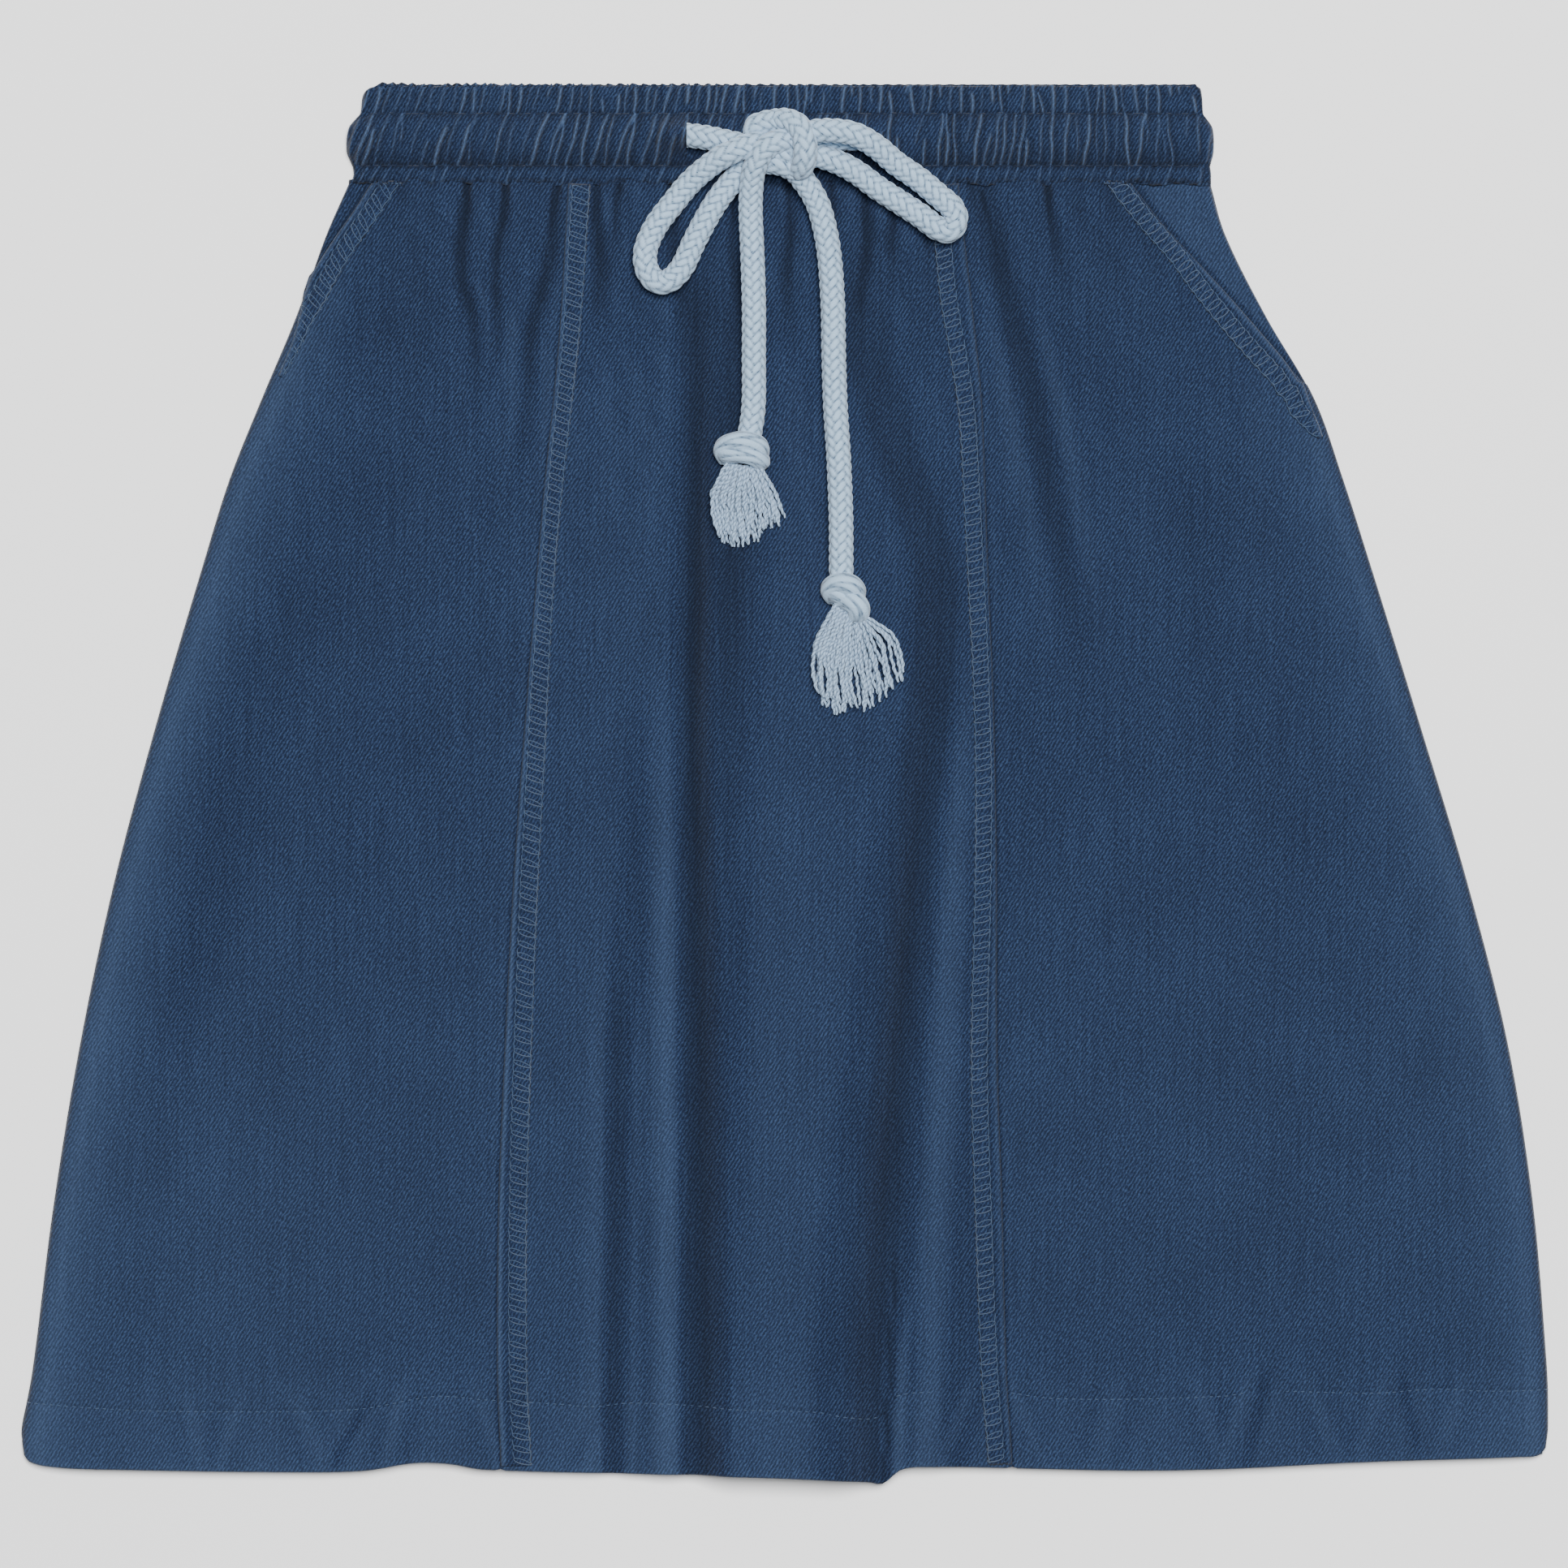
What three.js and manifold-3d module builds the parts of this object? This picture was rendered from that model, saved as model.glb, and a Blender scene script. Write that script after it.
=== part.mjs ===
// Child's denim skirt laid flat, with a gathered elastic waist and a tied cotton drawstring.
// Millimetres. +X is to the right of the front, +Y towards the waist, +Z up off the surface.
import * as THREE from 'three';
import Module from 'manifold-3d';
import { mergeVertices } from 'three/addons/utils/BufferGeometryUtils.js';

const wasm = await Module();
wasm.setup();

// Cloth and clearances
const CLOTH = 1.2;
const GAP = 0.3;
const BACK_BAND = 2.2;
const ALLOWANCE = 1.0;
const HIP_CLOTH = 1.0;

// Levels that the lengths run between, and where the back's hem and heading end across
const SEAM_Y = 185;
const HEM_Y = -210;
const BACK_HEM_Y = -207;
const BACK_HEM_LEFT = -229;
const BACK_HEM_RIGHT = 228;
const BACK_TOP_Y = 215.25;
const BACK_TOP_HALF = 125;

// How the front panels stand off the back
const LOFT = 4.0;
const ROLL = 6.0;
const SEAM_PINCH = 0.5;
const SEAM_PINCH_LENGTH = 12;
const LEAST_STAND_SQUARED = 0.2;

// How far down a fold comes to its full height, and how far up from its end it starts to fade
const FOLD_RISE = 0.35;
const FOLD_FADE = 0.6;
const FOLD_MARGIN = 1;

// Drawstring
const CORD = 7.5;
const CORD_SIDES = 10;

// How finely the solids are divided
const PANEL_ROWS = 18;
const ROW_CROWDING = 1.25;
const HEM_SHARE = 0.15;
const PANEL_COLUMNS = { centre: [2, 6, 3, 7, 3, 2, 2], left: [2, 13], right: [13, 2] };
const ALLOWANCE_COLUMNS = 2;
const HIP_ROWS = 8;
const HIP_COLUMNS = 2;
const LUMP_SIDES = 12;
const LUMP_RINGS = 8;
const SLOPE_STEP = 0.5;
const MERGE_DISTANCE = 1e-4;

const DENIM = new THREE.MeshStandardMaterial({ color: 0x2e425d, roughness: 0.9, metalness: 0 });
const DENIM_INSIDE = new THREE.MeshStandardMaterial({ color: 0x4d617c, roughness: 0.9, metalness: 0 });
const COTTON = new THREE.MeshStandardMaterial({ color: 0xa9bbca, roughness: 0.95, metalness: 0 });

// Side outline and the two front seams, from the waist seam down to the hem
const STATIONS = [
  { y: 185, left: -134.7, seamLeft: -66.7, seamRight: 53.5, right: 131.5 },
  { y: 169, left: -141.7, seamLeft: -67.6, seamRight: 55.2, right: 136.2 },
  { y: 144, left: -150.7, seamLeft: -69.0, seamRight: 58.0, right: 148.7 },
  { y: 119, left: -161.2, seamLeft: -71.2, seamRight: 60.5, right: 163.2 },
  { y: 94, left: -171.2, seamLeft: -73.8, seamRight: 61.6, right: 172.2 },
  { y: 69, left: -179.0, seamLeft: -76.0, seamRight: 62.4, right: 180.2 },
  { y: 19, left: -193.7, seamLeft: -80.0, seamRight: 64.4, right: 195.7 },
  { y: -31, left: -207.0, seamLeft: -83.6, seamRight: 65.2, right: 210.7 },
  { y: -81, left: -217.5, seamLeft: -86.2, seamRight: 65.3, right: 223.2 },
  { y: -131, left: -225.7, seamLeft: -88.2, seamRight: 66.9, right: 231.0 },
  { y: -181, left: -232.0, seamLeft: -88.6, seamRight: 68.2, right: 235.0 },
  { y: -204, left: -235.5, seamLeft: -87.7, seamRight: 69.7, right: 235.5 },
  { y: -210, left: -234.6, seamLeft: -87.5, seamRight: 70.0, right: 234.6 },
];

// Height of the hem edge across the front
const HEM = [
  { x: -236, y: -204.5 },
  { x: -233.5, y: -208.4 },
  { x: -224, y: -210.3 },
  { x: -204, y: -211.0 },
  { x: -154, y: -211.7 },
  { x: -130, y: -211.3 },
  { x: -114, y: -208.9 },
  { x: -103, y: -209.2 },
  { x: -93, y: -210.9 },
  { x: -44, y: -212.2 },
  { x: -14, y: -212.5 },
  { x: 16, y: -213.7 },
  { x: 26, y: -214.6 },
  { x: 30.2, y: -215.2 },
  { x: 35.8, y: -210.8 },
  { x: 46, y: -210.0 },
  { x: 106, y: -211.2 },
  { x: 136, y: -210.7 },
  { x: 176, y: -208.7 },
  { x: 226, y: -207.0 },
  { x: 233, y: -205.6 },
  { x: 236, y: -202.5 },
];

// Wide centre pleat: its two feet, how far it stands up, and how wide its shoulders are
const PLEAT = [
  { y: 185, left: -25.0, right: 26.0, height: 0.4, shoulder: 10 },
  { y: 160, left: -28.0, right: 27.0, height: 2.6, shoulder: 10 },
  { y: 130, left: -29.2, right: 29.5, height: 4.6, shoulder: 10 },
  { y: 101, left: -29.6, right: 38.2, height: 5.8, shoulder: 10 },
  { y: 71, left: -30.0, right: 48.2, height: 6.8, shoulder: 10 },
  { y: 46, left: -30.2, right: 49.5, height: 7.4, shoulder: 10 },
  { y: 21, left: -30.5, right: 47.5, height: 7.8, shoulder: 10 },
  { y: -34, left: -30.5, right: 43.5, height: 8.4, shoulder: 12 },
  { y: -84, left: -30.5, right: 40.5, height: 8.8, shoulder: 14 },
  { y: -121, left: -30.5, right: 37.0, height: 9.0, shoulder: 15 },
  { y: -159, left: -30.5, right: 33.5, height: 9.0, shoulder: 16 },
  { y: -216, left: -30.5, right: 31.0, height: 9.0, shoulder: 16 },
];

// Soft folds: a line through three places, half its width, its height, and whether it starts
// at the waist seam or runs out at the hem
const FOLDS = [
  { x0: -37, y0: 45, x1: -36.5, y1: -80, x2: -36, y2: -216, width: 7, height: 2.2, toHem: true },
  { x0: 58, y0: 70, x1: 50, y1: -60, x2: 42, y2: -216, width: 8, height: 2.0, toHem: true },
  { x0: -51, y0: -30, x1: -52, y1: -120, x2: -53, y2: -216, width: 4.5, height: -1.5, toHem: true },
  { x0: 60, y0: 185, x1: 76, y1: 120, x2: 95, y2: 15, width: 6, height: -2.6, fromSeam: true },
  { x0: -105, y0: 135, x1: -162, y1: 29, x2: -205, y2: -140, width: 19, height: -2.4 },
  { x0: 116, y0: 125, x1: 128, y1: 60, x2: 138, y2: -10, width: 14, height: -1.3 },
  { x0: -98, y0: 185, x1: -99, y1: 155, x2: -92, y2: 104, width: 3.2, height: -1.8, fromSeam: true },
  { x0: -86, y0: 185, x1: -89, y1: 145, x2: -92, y2: 112, width: 2.6, height: -1.3, fromSeam: true },
  { x0: -70, y0: 185, x1: -77, y1: 138, x2: -83, y2: 88, width: 3.5, height: -1.6, fromSeam: true },
  { x0: -58, y0: 185, x1: -58, y1: 160, x2: -57.5, y2: 138, width: 3, height: -1.7, fromSeam: true },
  { x0: -51, y0: 185, x1: -53, y1: 170, x2: -54, y2: 152, width: 2.5, height: -1.1, fromSeam: true },
  { x0: -35, y0: 185, x1: -32, y1: 150, x2: -30, y2: 118, width: 4, height: -1.8, fromSeam: true },
  { x0: -16, y0: 185, x1: -15, y1: 155, x2: -14, y2: 128, width: 3, height: -1.3, fromSeam: true },
  { x0: 1, y0: 185, x1: 2, y1: 152, x2: 3, y2: 124, width: 3, height: -1.4, fromSeam: true },
  { x0: 14, y0: 185, x1: 15, y1: 172, x2: 15, y2: 156, width: 2.5, height: -1.1, fromSeam: true },
  { x0: 25, y0: 185, x1: 24.5, y1: 155, x2: 24, y2: 128, width: 3.5, height: -1.6, fromSeam: true },
  { x0: 34, y0: 185, x1: 33.5, y1: 165, x2: 33, y2: 145, width: 3, height: -1.4, fromSeam: true },
  { x0: 45, y0: 185, x1: 44.5, y1: 175, x2: 44, y2: 162, width: 2.5, height: -1.0, fromSeam: true },
  { x0: 81, y0: 185, x1: 82, y1: 168, x2: 84, y2: 150, width: 3, height: -1.2, fromSeam: true },
];

// Slanted pocket mouths: the folded edge from under the waist seam to the side, where it meets the
// side, and how far down the hip piece in the mouth and the allowance along its edge reach
const MOUTHS = {
  left: {
    line: [
      { y: 187, x: -125.8 }, { y: 176.2, x: -132.6 }, { y: 166.2, x: -139.6 }, { y: 156.3, x: -146.2 },
      { y: 146, x: -152.8 },
    ],
    sideY: 156.5, pieceEndY: 165.5, edgeEndY: 126,
  },
  right: {
    line: [
      { y: 187, x: 105.0 }, { y: 182.5, x: 108.0 }, { y: 171.2, x: 116.7 }, { y: 161.2, x: 125.9 },
      { y: 148.8, x: 137.4 }, { y: 123.5, x: 159.6 }, { y: 115, x: 167.0 },
    ],
    sideY: 124, pieceEndY: 134.5, edgeEndY: 107,
  },
};
const POCKET_OVERLAP = 5;

// Width of the overlocked allowances, measured along x
const ALLOWANCES = [
  { y: 185, seamLeft: 6.8, seamRight: 8.8, pocketLeft: 8.7, pocketRight: 7.6 },
  { y: 166, seamLeft: 6.6, seamRight: 9.4, pocketLeft: 8.8, pocketRight: 7.9 },
  { y: 156, seamLeft: 6.5, seamRight: 9.6, pocketLeft: 9.0, pocketRight: 10.2 },
  { y: 150, seamLeft: 6.4, seamRight: 9.6, pocketLeft: 7.3, pocketRight: 10.9 },
  { y: 143, seamLeft: 6.3, seamRight: 9.2, pocketLeft: 4.6, pocketRight: 11.2 },
  { y: 134, seamLeft: 6.2, seamRight: 8.6, pocketLeft: 2.8, pocketRight: 11.0 },
  { y: 122, seamLeft: 6.0, seamRight: 7.8, pocketLeft: 1.4, pocketRight: 9.5 },
  { y: 110, seamLeft: 5.8, seamRight: 7.2, pocketLeft: 3.0, pocketRight: 4.0 },
  { y: 60, seamLeft: 5.6, seamRight: 6.3, pocketLeft: 7.0, pocketRight: 7.0 },
  { y: 0, seamLeft: 7.2, seamRight: 6.2, pocketLeft: 7.0, pocketRight: 7.0 },
  { y: -110, seamLeft: 8.6, seamRight: 8.4, pocketLeft: 7.0, pocketRight: 7.0 },
  { y: -210, seamLeft: 9.5, seamRight: 7.4, pocketLeft: 7.0, pocketRight: 7.0 },
];

// Waistband from the seam up to the frilled heading: outline, top of the front, depth of the gathers
const BAND = [
  { y: 185.3, left: -133.5, right: 131.5, top: 4.8, gather: 0.35 },
  { y: 188.0, left: -133.0, right: 131.5, top: 5.6, gather: 0.4 },
  { y: 190.5, left: -133.3, right: 131.2, top: 4.7, gather: 0.25 },
  { y: 195.0, left: -135.2, right: 132.3, top: 7.4, gather: 0.7 },
  { y: 202.0, left: -134.6, right: 132.0, top: 7.4, gather: 0.75 },
  { y: 206.6, left: -131.0, right: 129.0, top: 4.7, gather: 0.25 },
  { y: 210.5, left: -130.3, right: 128.8, top: 5.4, gather: 0.7 },
  { y: 215.0, left: -127.5, right: 127.5, top: 4.6, gather: 0.6 },
];
const GATHERS = 72;
const GATHER_LEAN = 0.12;
const GATHER_UNEVEN = { shift: 0.4, shiftTurn: 1.9, mean: 0.8, swing: 0.2, swingTurn: 0.7, swingPerMillimetre: 0.3 };
const BAND_ROUNDING = 5;

// Drawstring routes along the cord's centre line: x, y, z
const ROUTES = {
  cord_lead_left: [[-30.2, 199.2, 12.5], [-25.2, 198.5, 12.6], [-20.5, 197.5, 12.5], [-17.5, 196.7, 12.4]],
  cord_lead_right: [[19.5, 198.0, 12.5], [13.2, 198.2, 12.7], [8.2, 198.2, 12.7]],
  cord_loop_left: [
    [-9.7, 196.0, 15.6], [-16.7, 193.2, 16.4], [-22.2, 190.2, 14.2], [-28.7, 185.0, 11.2], [-34.2, 178.5, 10.2],
    [-39.5, 171.5, 10.3], [-42.7, 164.2, 10.7], [-42.5, 158.2, 10.9], [-39.5, 154.2, 10.9], [-35.5, 154.5, 10.6],
    [-31.5, 158.7, 10.3], [-28.2, 165.7, 10.5], [-24.7, 172.5, 10.6], [-20.7, 179.2, 10.4], [-16.0, 185.2, 10.2],
    [-12.7, 188.2, 10.4],
  ],
  cord_loop_right: [
    [8.2, 199.5, 18.2], [15.0, 199.7, 20.2], [21.7, 198.5, 20.2], [28.2, 195.0, 17.0], [34.2, 190.2, 13.6],
    [41.2, 185.5, 12.0], [47.5, 180.2, 11.9], [51.2, 177.0, 12.1], [52.6, 173.2, 12.2], [50.7, 169.7, 12.1],
    [46.7, 170.6, 11.6], [41.7, 174.4, 10.8], [35.0, 178.8, 10.2], [28.2, 183.2, 10.2], [22.7, 187.2, 11.4],
    [16.5, 190.5, 13.4], [9.5, 192.7, 14.4],
  ],
  cord_tail_left: [
    [-10.2, 183.6, 14.0], [-10.5, 175.5, 12.2], [-10.0, 163.5, 13.0], [-9.5, 147.5, 14.4], [-9.5, 131.5, 15.5],
    [-9.6, 115.5, 16.2], [-11.0, 104.0, 16.8],
  ],
  cord_tail_right: [
    [4.5, 186.7, 11.6], [8.2, 181.7, 11.0], [11.0, 175.5, 11.4], [13.5, 163.5, 12.8], [14.7, 147.5, 14.4],
    [15.0, 131.5, 15.5], [15.5, 115.5, 16.3], [16.5, 99.7, 16.9], [17.2, 81.2, 17.5], [17.3, 62.0, 18.1],
  ],
};
const ROUTE_STEPS = {
  cord_lead_left: 3, cord_lead_right: 2, cord_loop_left: 16, cord_loop_right: 18, cord_tail_left: 10, cord_tail_right: 14,
};

// Knot of the bow: the turn over its front, the strand that comes out of it, and what they close on
const KNOT_TURN = [
  [-2.0, 203.4, 14.5], [0.3, 203.2, 16.8], [3.2, 202.0, 19.0], [5.2, 199.5, 20.4], [6.1, 196.2, 20.8],
  [6.2, 192.5, 20.2], [5.7, 189.7, 18.0], [4.7, 187.6, 14.6],
];
const KNOT_STRAND = [[1.0, 197.0, 17.6], [-3.2, 196.2, 18.4], [-7.0, 193.2, 18.0], [-9.3, 188.6, 16.2], [-10.1, 184.0, 14.1]];
const KNOT_TURN_STEPS = 8;
const KNOT_STRAND_STEPS = 5;
const BOW_KNOT = [
  { x: -1.2, y: 194.5, z: 14.2, rx: 8.2, ry: 7.0, rz: 4.6 },
  { x: -5.5, y: 201.7, z: 14.2, rx: 5.8, ry: 3.4, rz: 4.2 },
  { x: -1.2, y: 190.0, z: 15.2, rx: 3.8, ry: 5.6, rz: 3.8 },
];
const END_KNOTS = {
  left: [
    { x: -13.0, y: 102.2, z: 17.7, rx: 8.2, ry: 5.0, rz: 4.7 },
    { x: -8.2, y: 98.6, z: 17.2, rx: 4.5, ry: 3.7, rz: 3.8 },
  ],
  right: [
    { x: 17.5, y: 59.7, z: 19.1, rx: 6.5, ry: 5.0, rz: 4.8 },
    { x: 21.2, y: 53.6, z: 18.8, rx: 4.6, ry: 4.3, rz: 4.3 },
  ],
};

// Tassels: where the yarns leave the knot, bend and end, at the left, middle and right of the fan
const TASSELS = {
  left: {
    yarns: 9, head: { x: -12.6, y: 95.6, z: 16.8, rx: 5.0, ry: 3.4, rz: 3.2 }, level: 14.6,
    root: [[-16.0, 95.5], [-12.6, 94.6], [-9.4, 95.4]],
    bend: [[-22.6, 88.6], [-12.6, 86.0], [-3.4, 89.4]],
    end: [[-20.8, 76.4], [-11.2, 74.3], [-0.8, 81.6]],
  },
  right: {
    yarns: 10, head: { x: 19.8, y: 49.6, z: 18.0, rx: 4.8, ry: 3.4, rz: 3.2 }, level: 15.9,
    root: [[16.8, 50.6], [19.8, 48.8], [23.0, 48.8]],
    bend: [[9.4, 42.4], [19.4, 37.0], [33.0, 44.6]],
    end: [[9.7, 27.6], [20.4, 22.4], [37.2, 31.8]],
  },
};
const YARN = 1.3;
const YARN_SIDES = 3;
const YARN_STEPS = 3;
const YARN_LAYERS = 2;
const FIRST_YARN = 0.25;
const LAYER_SHIFT = 0.5;
const LAYER_RISE = 1.5;
const BEND_RISE = 0.3;
const TIP_UNEVEN = { share: 0.18, perYarn: 2.4, perLayer: 1.7 };

// Smooth value of a named column at a place along a table
function along(table, key, place, column) {
  const rising = table[table.length - 1][key] > table[0][key];
  const before = (row) => (rising ? row[key] <= place : row[key] >= place);
  let i = 0;
  while (i < table.length - 2 && before(table[i + 1])) i += 1;
  const slope = (k) => {
    const a = table[Math.max(k - 1, 0)];
    const b = table[Math.min(k + 1, table.length - 1)];
    return (b[column] - a[column]) / (b[key] - a[key]);
  };
  const from = table[i];
  const to = table[i + 1];
  const step = to[key] - from[key];
  const t = THREE.MathUtils.clamp((place - from[key]) / step, 0, 1);
  const t2 = t * t;
  const t3 = t2 * t;
  return (2 * t3 - 3 * t2 + 1) * from[column] + (t3 - 2 * t2 + t) * step * slope(i)
    + (3 * t2 - 2 * t3) * to[column] + (t3 - t2) * step * slope(i + 1);
}

function smooth(t) {
  const c = THREE.MathUtils.clamp(t, 0, 1);
  return c * c * (3 - 2 * c);
}

function lerp(a, b, t) {
  return a + (b - a) * t;
}

function foldHeight(fold, x, y) {
  if (y > fold.y0 + FOLD_MARGIN || y < fold.y2 - FOLD_MARGIN) return 0;
  const upper = y > fold.y1;
  const t = upper ? (y - fold.y1) / (fold.y0 - fold.y1) : (fold.y1 - y) / (fold.y1 - fold.y2);
  const centre = lerp(fold.x1, upper ? fold.x0 : fold.x2, t);
  const length = fold.y0 - fold.y2;
  const start = fold.fromSeam ? 1 : smooth((fold.y0 - y) / (FOLD_RISE * length));
  const end = fold.toHem ? 1 : smooth((y - fold.y2) / (FOLD_FADE * length));
  const away = (x - centre) / fold.width;
  return fold.height * start * end * Math.exp(-away * away);
}

// Height of the front's underside over the back's upper face
function stand(x, y) {
  const left = along(STATIONS, 'y', y, 'left');
  const right = along(STATIONS, 'y', y, 'right');
  const edge = Math.max(Math.min(x - left, right - x), 0);
  const roll = 1 - Math.exp(-edge / ROLL);
  const pinch = 1 - SEAM_PINCH * Math.exp((y - SEAM_Y) / SEAM_PINCH_LENGTH);
  const foot = along(PLEAT, 'y', y, 'left');
  const farFoot = along(PLEAT, 'y', y, 'right');
  const shoulder = along(PLEAT, 'y', y, 'shoulder');
  const pleat = along(PLEAT, 'y', y, 'height')
    * smooth((x - foot) / shoulder) * smooth((farFoot - x) / shoulder);
  let height = LOFT * roll * pinch + pleat * roll;
  for (const fold of FOLDS) height += foldHeight(fold, x, y) * roll;
  return (height + Math.sqrt(height * height + LEAST_STAND_SQUARED)) / 2;
}

function frontUnderside(x, y) {
  return CLOTH + GAP + stand(x, y);
}

// Vertical thickness that keeps the wall CLOTH thick across its slope
function wallHeight(x, y) {
  const d = SLOPE_STEP;
  const gx = (stand(x + d, y) - stand(x - d, y)) / (2 * d);
  const gy = (stand(x, y + d) - stand(x, y - d)) / (2 * d);
  return CLOTH * Math.sqrt(1 + gx * gx + gy * gy);
}

function geometryOf(positions, triangles) {
  const geometry = new THREE.BufferGeometry();
  geometry.setAttribute('position', new THREE.Float32BufferAttribute(positions, 3));
  geometry.setIndex(triangles);
  return geometry;
}

// Closed wall between a lower and an upper grid of points, grid[row][column] = [x, y, z]
function wall(lower, upper) {
  const rows = lower.length;
  const columns = lower[0].length;
  const positions = [...lower, ...upper].flat(2);
  const low = (r, c) => r * columns + c;
  const high = (r, c) => rows * columns + r * columns + c;
  const triangles = [];
  const quad = (a, b, c, d) => triangles.push(a, b, c, a, c, d);
  for (let r = 0; r < rows - 1; r += 1) {
    for (let c = 0; c < columns - 1; c += 1) {
      quad(high(r, c), high(r + 1, c), high(r + 1, c + 1), high(r, c + 1));
      quad(low(r, c), low(r, c + 1), low(r + 1, c + 1), low(r + 1, c));
    }
    quad(low(r, 0), low(r + 1, 0), high(r + 1, 0), high(r, 0));
    quad(low(r + 1, columns - 1), low(r, columns - 1), high(r, columns - 1), high(r + 1, columns - 1));
  }
  for (let c = 0; c < columns - 1; c += 1) {
    quad(low(0, c + 1), low(0, c), high(0, c), high(0, c + 1));
    quad(low(rows - 1, c), low(rows - 1, c + 1), high(rows - 1, c + 1), high(rows - 1, c));
  }
  return geometryOf(positions, triangles);
}

function solidOf(geometry) {
  const bare = geometry.clone();
  bare.deleteAttribute('normal');
  bare.deleteAttribute('uv');
  const merged = mergeVertices(bare, MERGE_DISTANCE);
  return new wasm.Manifold(new wasm.Mesh({
    numProp: 3,
    vertProperties: Float32Array.from(merged.attributes.position.array),
    triVerts: Uint32Array.from(merged.index.array),
  }));
}

function geometryFrom(solid) {
  const mesh = solid.getMesh();
  return geometryOf(Array.from(mesh.vertProperties), Array.from(mesh.triVerts));
}

function prism(outline, bottom, top) {
  const shape = new THREE.Shape(outline.map(([x, y]) => new THREE.Vector2(x, y)));
  const geometry = new THREE.ExtrudeGeometry(shape, { depth: top - bottom, bevelEnabled: false });
  return geometry.translate(0, 0, bottom);
}

const skirt = new THREE.Group();

function add(name, geometry, material) {
  const mesh = new THREE.Mesh(geometry, material);
  mesh.name = name;
  skirt.add(mesh);
}

// Back panel: flat under the whole skirt
function backPanel() {
  const outline = [];
  const levels = STATIONS.map((row) => row.y).filter((y) => y > BACK_HEM_Y);
  for (const y of levels) outline.push([along(STATIONS, 'y', y, 'left'), y]);
  outline.push([BACK_HEM_LEFT, BACK_HEM_Y], [BACK_HEM_RIGHT, BACK_HEM_Y]);
  for (const y of levels.reverse()) outline.push([along(STATIONS, 'y', y, 'right'), y]);
  return prism(outline, 0, CLOTH);
}

// Front panels are grids whose columns follow lines down the cloth
function rowLevel(r) {
  return lerp(SEAM_Y, HEM_Y, Math.pow(r / PANEL_ROWS, ROW_CROWDING));
}

function panelGrid(lines, divisions) {
  const lower = [];
  const upper = [];
  for (let r = 0; r <= PANEL_ROWS; r += 1) {
    const level = rowLevel(r);
    const places = [];
    for (let k = 0; k < divisions.length; k += 1) {
      const from = lines[k](level);
      const to = lines[k + 1](level);
      for (let i = 0; i < divisions[k]; i += 1) places.push(lerp(from, to, i / divisions[k]));
    }
    places.push(lines[lines.length - 1](level));
    const nearHem = smooth((r / PANEL_ROWS - (1 - HEM_SHARE)) / HEM_SHARE);
    lower.push(places.map((x) => {
      const y = level + nearHem * (along(HEM, 'x', x, 'y') - HEM_Y);
      return [x, y, frontUnderside(x, y)];
    }));
    upper.push(lower[r].map(([x, y, z]) => [x, y, z + wallHeight(x, y)]));
  }
  return { lower, upper };
}

// An allowance pressed flat on a panel: the panel's own columns next to one edge, moved out
function allowanceOn(panel, edge, endY) {
  const rows = panel.upper.filter((row, r) => rowLevel(r) >= endY);
  const from = edge === 'left' ? 0 : rows[0].length - 1 - ALLOWANCE_COLUMNS;
  const base = rows.map((row) => row.slice(from, from + ALLOWANCE_COLUMNS + 1).map(([x, y, z]) => [x, y, z + GAP]));
  const top = base.map((row) => row.map(([x, y, z]) => [x, y, z + ALLOWANCE]));
  return wall(base, top);
}

const sideLeft = (y) => along(STATIONS, 'y', y, 'left');
const sideRight = (y) => along(STATIONS, 'y', y, 'right');
const seamLeft = (y) => along(STATIONS, 'y', y, 'seamLeft');
const seamRight = (y) => along(STATIONS, 'y', y, 'seamRight');
const allowance = (y, column) => along(ALLOWANCES, 'y', y, column);

const mouthLine = (mouth, y) => along(mouth.line, 'y', y, 'x');
const openLeft = (y) => (y > MOUTHS.left.sideY ? Math.max(mouthLine(MOUTHS.left, y), sideLeft(y)) : sideLeft(y));
const openRight = (y) => (y > MOUTHS.right.sideY ? Math.min(mouthLine(MOUTHS.right, y), sideRight(y)) : sideRight(y));

function centrePanel() {
  return panelGrid([
    (y) => seamLeft(y) + GAP / 2,
    (y) => seamLeft(y) + allowance(y, 'seamLeft'),
    (y) => along(PLEAT, 'y', y, 'left'),
    (y) => along(PLEAT, 'y', y, 'left') + along(PLEAT, 'y', y, 'shoulder'),
    (y) => along(PLEAT, 'y', y, 'right') - along(PLEAT, 'y', y, 'shoulder'),
    (y) => along(PLEAT, 'y', y, 'right'),
    (y) => seamRight(y) - allowance(y, 'seamRight'),
    (y) => seamRight(y) - GAP / 2,
  ], PANEL_COLUMNS.centre);
}

function leftSidePanel() {
  return panelGrid([
    openLeft,
    (y) => openLeft(y) + allowance(y, 'pocketLeft'),
    (y) => seamLeft(y) - GAP / 2,
  ], PANEL_COLUMNS.left);
}

function rightSidePanel() {
  return panelGrid([
    (y) => seamRight(y) + GAP / 2,
    (y) => openRight(y) - allowance(y, 'pocketRight'),
    openRight,
  ], PANEL_COLUMNS.right);
}

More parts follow.
